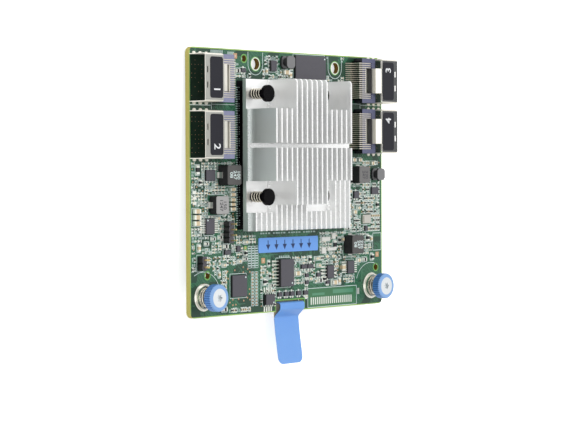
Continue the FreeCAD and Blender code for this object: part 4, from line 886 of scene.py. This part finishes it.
# Printed lines: frames around the packages, guide hole arcs, port divisions, screw circles
printed = {"frame": 0.5, "screwArc": (9.0, 9.2), "guideTop": 48.2,
           "portLines": ((-54.6, -43.5, -31.2, 27.6), (54.4, 41.5, 31.0, 29.4)),
           "tallyRows": ((-43.6, -36.6, 47.7), (-34.6, -30.8, 47.4)), "tallyPitch": 0.6, "tallyHalf": 0.4,
           "cornerFrame": (49.2, 54.4, -27.6, -20.8)}
for name in chips + list(chokes) + ["oscillator", "serial_header_housing", "jumper_header_housing"]:
    low, high = nodeBox(name)
    margin = printed["frame"]
    outline(inkLines, low.x - margin, high.x + margin, low.y - margin, high.y + margin)
for (x, y), start in zip(screwPlaces, (20.0, 60.0)):
    ring(inkLines, x, y, *printed["screwArc"], 0, laid["mark"], 28, start, 100.0)
for x, y in guideHoles:
    arc, half = guideRing["arc"], inkWidth / 2
    ring(inkLines, x, y, arc - half, arc + half, 0, laid["mark"], 24, 180.0, 180.0)
    for sign in (-1, 1):
        stroke(inkLines, (x + sign * arc, y), (x + sign * arc, printed["guideTop"]))
for x0, x1, x2, y in printed["portLines"]:
    stroke(inkLines, (x0, y + 0.5), (x1, y + 0.5), 0.3)
    stroke(inkLines, (x1, y - 0.9), (x1, y + 1.6), 0.26)
    stroke(inkLines, (x1, y + 0.9), (x2, y + 0.9))
for x0, x1, y in printed["tallyRows"]:
    for x in row(x0, int((x1 - x0) / printed["tallyPitch"]), printed["tallyPitch"]):
        bar(x, y, printed["tallyHalf"], True, 0.28)

# Ladder and twin rows of printed boxes round test points
ladder = {"columns": (-24.2, 3, 1.95), "rows": (-31.9, 9, 0.92), "width": 1.75, "height": 0.72, "line": 0.16}
for x in row(*ladder["columns"]):
    for y in row(*ladder["rows"]):
        outline(inkLines, x, x + ladder["width"], y, y + ladder["height"], ladder["line"])
twin = {"columns": (-21.7, 2, 2.1), "rows": (-45.6, 11, 1.18), "half": (0.8, 0.42)}
for x in row(*twin["columns"]):
    for y in row(*twin["rows"]):
        halfX, halfY = twin["half"]
        outline(inkLines, x - halfX, x + halfX, y - halfY, y + halfY)
        via(x, y)

# Bare place of the flat cable's connector, and the other bare pads
flatCable = {"row": (11.6, 20, 1.26), "span": (-47.4, -44.6), "width": 0.62,
             "frame": (9.6, 38.9, -48.4, -41.1), "field": (9.9, 38.6, -48.2, -41.3),
             "traces": ((24.5, 36.8, -43.6, -42.1), (12.2, 19.5, -43.9, -43.0))}
sidePads = (((8.0, 9.2), (-43.5,), 1.5, laid["pad"]), ((39.4, 40.6), (-43.4,), 1.2, laid["pad"]),
            ((-39.2, -37.3), (-15, -17, -19, -21), 0.45, 0.12), ((-48.4, -46.9), (-28.0, -30.6), 0.5, 0.12),
            ((-53.5, -51.6), (-3.5, -5.5, -7.4), 0.55, 0.1))  # x, middles in y, half length, height
cableField, cableTraces, padBars = (bmesh.new() for _ in range(3))
outline(inkLines, *printed["cornerFrame"], 0.22)
outline(inkLines, *flatCable["frame"])
piece("printed_lines", inkLines, "silkInk")
block(cableField, *flatCable["field"], 0, laid["paint"])
for trace in flatCable["traces"]:
    block(cableTraces, *trace, laid["paint"], laid["foil"])
half = flatCable["width"] / 2
for x in row(*flatCable["row"]):
    block(padBars, x - half, x + half, *flatCable["span"], 0, laid["pad"])
for (x0, x1), middles, half, height in sidePads:
    for y in middles:
        block(padBars, x0, x1, y - half, y + half, 0, height)
for x, y in guideHoles:
    ring(padBars, x, y, guideRing["hole"], guideRing["ring"], 0, laid["pad"])
piece("flat_cable_field", cableField, "openGreen")
piece("flat_cable_traces", cableTraces, "trackMask")
piece("bare_pads", padBars, "tin")

# Bright rims round the holes and the notch, and the marks that a camera aligns the board by
rims = {"hole": (1.24, 1.7), "notchLeft": -8.9, "notchRight": 7.4, "notchTop": -44.9, "notchLow": -48.7,
        "width": 0.42}
dotPlace, dotRadius = (-25.6, -24.4), 0.45
halos = bmesh.new()
for x, y in toolingHoles:
    ring(halos, x, y, *rims["hole"], 0, laid["mark"])
ring(halos, *dotPlace, dotRadius, 2 * dotRadius, 0, laid["mark"])
for x, y in guideHoles:
    ring(halos, x, y, guideRing["ring"], guideRing["halo"], 0, laid["mark"])
x0, x1, y, width = rims["notchLeft"], rims["notchRight"], rims["notchTop"], rims["width"]
block(halos, x0 - width, x1 + width, y, y + width, 0, laid["paint"])
for x in (x0 - width, x1):
    block(halos, x, x + width, rims["notchLow"], y, 0, laid["paint"])
piece("tooling_halos", halos, "ringGreen")
alignment = {"places": ((-30.7, 46.5), (-15.8, -29.4), (51.9, -29.3)), "half": 0.98, "dot": 0.42}
squares, centres = bmesh.new(), bmesh.new()
for x, y in alignment["places"]:
    half = alignment["half"]
    block(squares, x - half, x + half, y - half, y + half, 0, laid["foil"])
    disc(centres, x, y, alignment["dot"], laid["foil"], laid["foil"] + laid["paint"], 16)
piece("alignment_squares", squares, "copperPad")
piece("alignment_marks", centres, "capTan")
disc(viaDots, *dotPlace, dotRadius - 0.01, 0, laid["paint"], 16)
clockVias = {"radius": 0.34, "places": (  # from the chip's middle
    (-5.7, 5.5), (-1.8, 5.8), (2.8, 6.8), (5.2, 6.0), (6.4, 4.9), (2.8, 4.9), (-5.4, 2.9), (7.6, 2.0),
    (7.2, -0.1), (6.2, -1.5), (6.2, -3.3), (5.0, -4.6), (0.2, -4.9), (-2.9, -5.0), (-4.5, -6.0), (-2.9, -7.0),
    (-1.3, -6.9), (3.0, -5.6), (6.4, -5.4))}
chipX, chipY, _ = topOf("clock_chip")
for x, y in clockVias["places"]:
    disc(viaDots, chipX + x, chipY + y, clockVias["radius"], 0, laid["paint"], 10)

# Close rows of small parts between the receptacles and the heat sink, and above the blue label
sideRow = {"row": (-16.0, 60, 0.86), "shade": (-30.0, -26.0, -17.5, 37.5),
           "outer": (-30.6, -29.5), "outerSpan": 0.36, "inner": (-28.9, -28.5), "innerSpan": (0.1, 0.4),
           "pinShade": (1.55, 2.3)}
shade, ticks = bmesh.new(), bmesh.new()
block(shade, *sideRow["shade"], 0, laid["paint"])
for j, y in enumerate(row(*sideRow["row"])):
    block(ticks, *sideRow["outer"], y, y + sideRow["outerSpan"], laid["paint"], laid["foil"])
    if j % 5 != 3:
        start, end = sideRow["innerSpan"]
        block(ticks, *sideRow["inner"], y + start, y + end, laid["paint"], laid["foil"])
piece("side_ticks", ticks, "paleTeal")
labelRow = {"row": (-17.4, 23, 1.44), "span": (-19.5, -18.95), "length": 0.9, "longer": 0.3,
            "chipRow": (-6.9, 6, 1.05), "chipSpan": (-28.6, -27.9), "chipLength": 0.6}
labelMarks = bmesh.new()
for j, x in enumerate(row(*labelRow["row"])):
    if j % 6 != 4:
        length = labelRow["length"] + labelRow["longer"] * (j % 3 == 0)
        block(labelMarks, x, x + length, *labelRow["span"], 0, laid["mark"])
for x in row(*labelRow["chipRow"]):
    block(labelMarks, x, x + labelRow["chipLength"], *labelRow["chipSpan"], 0, laid["mark"])
piece("label_row", labelMarks, "paleTeal")
for level in levels:
    x, y, _ = topOf(level + "_left_push_pin")
    ring(shade, x, y, *sideRow["pinShade"], laid["paint"], laid["pad"])
piece("shaded_board", shade, "shadow")

# Plated holes seen through the mouths of the receptacles
mouthHoles = {"centres": (37.8, 17.3, 39.3, 19.5), "columns": (1.2, 5, 1.75), "rows": (9, 1.6),
              "share": 0.6, "radius": 0.13}
for (mouth, inwards), centre in zip(ports.values(), mouthHoles["centres"]):
    for depth in row(*mouthHoles["columns"]):
        for y in spread(centre, *mouthHoles["rows"]):
            if rng.random() < mouthHoles["share"]:
                disc(viaDots, mouth + inwards * depth, y, mouthHoles["radius"], 0, laid["mark"], 8)

# Indicator parts, and the dots beside the chips' first leads
indicator = {"places": ((17.4, 22.4, -23.1, -21.5), (23.5, 25.6, -22.4, -20.1), (17.4, 19.8, -27.9, -25.5),
                        (20.8, 25.9, -26.9, -25.7)), "height": 0.7, "bevel": 0.12}
indicators = bmesh.new()
for place in indicator["places"]:
    block(indicators, *place, 0, indicator["height"])
bmesh.ops.bevel(indicators, geom=list(indicators.edges), offset=indicator["bevel"] * mm, segments=2,
                profile=0.5, material=-1, affect="EDGES")
piece("indicator_parts", indicators, "whiteCeramic")
firstLead = {"flash_chip": (-0.8, -1.0), "bus_chip": (-1.2, 1.2), "clock_chip": (-0.9, -0.9),
             "supervisor_chip": (-0.8, 0.8), "left_driver_chip": (0.7, -0.7)}  # from the nearest corner
dot = {"radius": 0.32, "sunk": 0.01, "raised": 0.015}
dots = bmesh.new()
for name, (dx, dy) in firstLead.items():
    low, high = nodeBox(name)
    x = high.x + dx if dx < 0 else low.x + dx
    y = high.y + dy if dy < 0 else low.y + dy
    disc(dots, x, y, dot["radius"], high.z - dot["sunk"], high.z + dot["raised"], 16)
piece("first_lead_dots", dots, "silkInk")

# Back of the card: solder tails of the connector and joints of the header pins
solderTail = {"row": (32, 1.0), "half": 0.2, "under": 0.2, "reach": 1.0, "thick": 0.16}
pinJoint = {"serial": (-35.9, (-15.2, -17.2, -19.2, -21.2)), "jumper": (-49.9, (-27.9, -30.5)),
            "profile": ((0.0, 0.9), (0.28, 0.85), (0.4, 0.4), (0.85, 0.0), (0.0, 0.0))}  # radius, depth
backSolder = bmesh.new()
low, high = nodeBox("mezzanine_housing")
for x in spread((low.x + high.x) / 2, *solderTail["row"]):
    for edge, sign in ((low.y, -1), (high.y, 1)):
        inner, outer = edge - sign * solderTail["under"], edge + sign * solderTail["reach"]
        block(backSolder, x - solderTail["half"], x + solderTail["half"], inner, outer,
              -boardThickness - solderTail["thick"], -boardThickness)
cone = [(radius, -boardThickness - depth) for radius, depth in pinJoint["profile"]]
for x, places in (pinJoint["serial"], pinJoint["jumper"]):
    for y in places:
        turned(backSolder, x, y, cone, 16)
bmesh.ops.remove_doubles(backSolder, verts=backSolder.verts, dist=1e-7)
piece("back_solder", backSolder, "tin")
backVias = {"tries": 120, "x": (-50, 50), "y": (-40, 45), "room": 0.5}
for _ in range(backVias["tries"]):
    x, y = rng.uniform(*backVias["x"]), rng.uniform(*backVias["y"])
    if isFree(x, y, backVias["room"], backVias["room"], -1):
        via(x, y, -boardThickness)
piece("small_part_bodies_tan", tanBodies, "capTan")
piece("small_part_bodies_black", blackBodies, "resistorBlack")
piece("small_part_ends", tinEnds, "tin")
piece("via_dots", viaDots, "copperPad")
print("board furnished")

# Tracks under the mask: thin raised ribbons that run straight and at 45 degrees
track = {"front": 420, "back": 260, "radius": 0.09, "flatness": 0.2, "laneGap": 0.34,
         "lanes": (1, 1, 2, 3, 4), "bends": (2, 3, 4), "reach": (1.2, 6.0), "startX": 54, "startY": 48,
         "halfX": 53.0, "halfY": 47.0, "holeRoom": 5.5}


def isOnBoard(x, y):
    if abs(x) > track["halfX"] or abs(y) > track["halfY"]:
        return False
    for holeX, holeY in toolingHoles + guideHoles + screwPlaces:
        if math.hypot(x - holeX, y - holeY) < track["holeRoom"]:
            return False
    return ground.ray_cast(at(x, y, 40), Vector((0, 0, -1)))[0] is not None


def tracks(name, count, level=0.0):
    curve = bpy.data.curves.new(name, "CURVE")
    curve.dimensions = "3D"
    curve.bevel_depth = track["radius"] * mm
    curve.bevel_resolution = 0
    for _ in range(count):
        x = rng.uniform(-track["startX"], track["startX"])
        y = rng.uniform(-track["startY"], track["startY"])
        heading = rng.choice(range(8))
        points = [(x, y)]
        for _ in range(rng.choice(track["bends"])):
            reach = rng.uniform(*track["reach"])
            angle = heading * math.pi / 4
            x, y = x + reach * math.cos(angle), y + reach * math.sin(angle)
            points.append((x, y))
            heading += rng.choice((-1, 1))
        if not all(isOnBoard(px, py) for px, py in points):
            continue
        for lane in range(rng.choice(track["lanes"])):
            spline = curve.splines.new("POLY")
            spline.points.add(len(points) - 1)
            shift = lane * track["laneGap"]
            for target, (px, py) in zip(spline.points, points):
                target.co = (*at(px + shift, py + shift), 1.0)
    bm = meshed(name + "_curve", curve)
    squeeze = Matrix.Translation((0, 0, at(0, 0, level).z)) @ Matrix.Diagonal((1, 1, track["flatness"], 1))
    bmesh.ops.transform(bm, matrix=squeeze @ Matrix.Translation((0, 0, -boardHigh.z)), verts=bm.verts)
    piece(name, bm, "trackMask")


tracks("front_tracks", track["front"])
tracks("back_tracks", track["back"], -boardThickness)
print("tracks laid")

# Floor, light and camera
studio = {"floorSize": 6.0, "floorPlace": (0, 3.1 * mm, -0.05 * mm), "floorTilt": 2.54, "paper": 0.86,
          "glow": 0.66, "world": 0.62, "lampSize": 0.5, "key": ((120, 260, 620), 1.9),
          "fill": ((-520, -120, 420), 0.5)}
bm = bmesh.new()
bmesh.ops.create_grid(bm, x_segments=1, y_segments=1, size=studio["floorSize"])
tilt = Matrix.Rotation(math.radians(studio["floorTilt"]), 4, "X")
bmesh.ops.transform(bm, matrix=Matrix.Translation(studio["floorPlace"]) @ tilt, verts=bm.verts)
floorMesh = bpy.data.meshes.new("floor")
bm.to_mesh(floorMesh)
bm.free()
floor = newObject("floor", floorMesh)
f = Finish("paleFloor")
paper = f.node("BsdfDiffuse", None, {"Color": (studio["paper"], studio["paper"], studio["paper"], 1.0)})
white = (1.0, 1.0, 1.0, 1.0)
glow = f.node("Emission", None, {"Color": white, "Strength": f.seenWhite() * studio["glow"]})
both = f.node("AddShader", None, {0: paper, 1: glow})
f.node("OutputMaterial", None, {"Surface": both})
floorMesh.materials.append(f.block)

world = bpy.data.worlds.new("studio")
bpy.context.scene.world = world
sky = Finish("studio", world)
strength = sky.seenWhite() * (1 - studio["world"]) + studio["world"]
background = sky.node("Background", None, {"Color": white, "Strength": strength})
sky.node("OutputWorld", None, {"Surface": background})
for name in ("key", "fill"):
    place, watts = studio[name]
    lamp = bpy.data.lights.new(name + "Lamp", "AREA")
    lamp.shape = "DISK"
    lamp.size = studio["lampSize"]
    lamp.energy = watts
    hung = newObject(name + "Lamp", lamp)
    aim = (at(0, 0) - at(*place)).normalized()
    hung.matrix_world = Matrix.Translation(at(*place)) @ aim.to_track_quat("-Z", "Y").to_matrix().to_4x4()

view = {"position": (-573.7, 4.8, 505.26), "forward": (0.7488, -0.0228, -0.6624),
        "up": (0.0197, 0.9997, -0.0122), "lens": 126.5, "film": 36.0}
forward = Vector(view["forward"]).normalized()
right = forward.cross(Vector(view["up"])).normalized()
up = right.cross(forward)
lens = bpy.data.cameras.new("photoCamera")
lens.lens = view["lens"]
lens.sensor_width = view["film"]
lens.clip_start = 0.01
camera = newObject("photoCamera", lens)
turn = Matrix((right, up, -forward)).transposed().to_4x4()
camera.matrix_world = Matrix.Translation(at(*view["position"])) @ turn
bpy.context.scene.camera = camera
bpy.context.scene.view_settings.view_transform = "Standard"
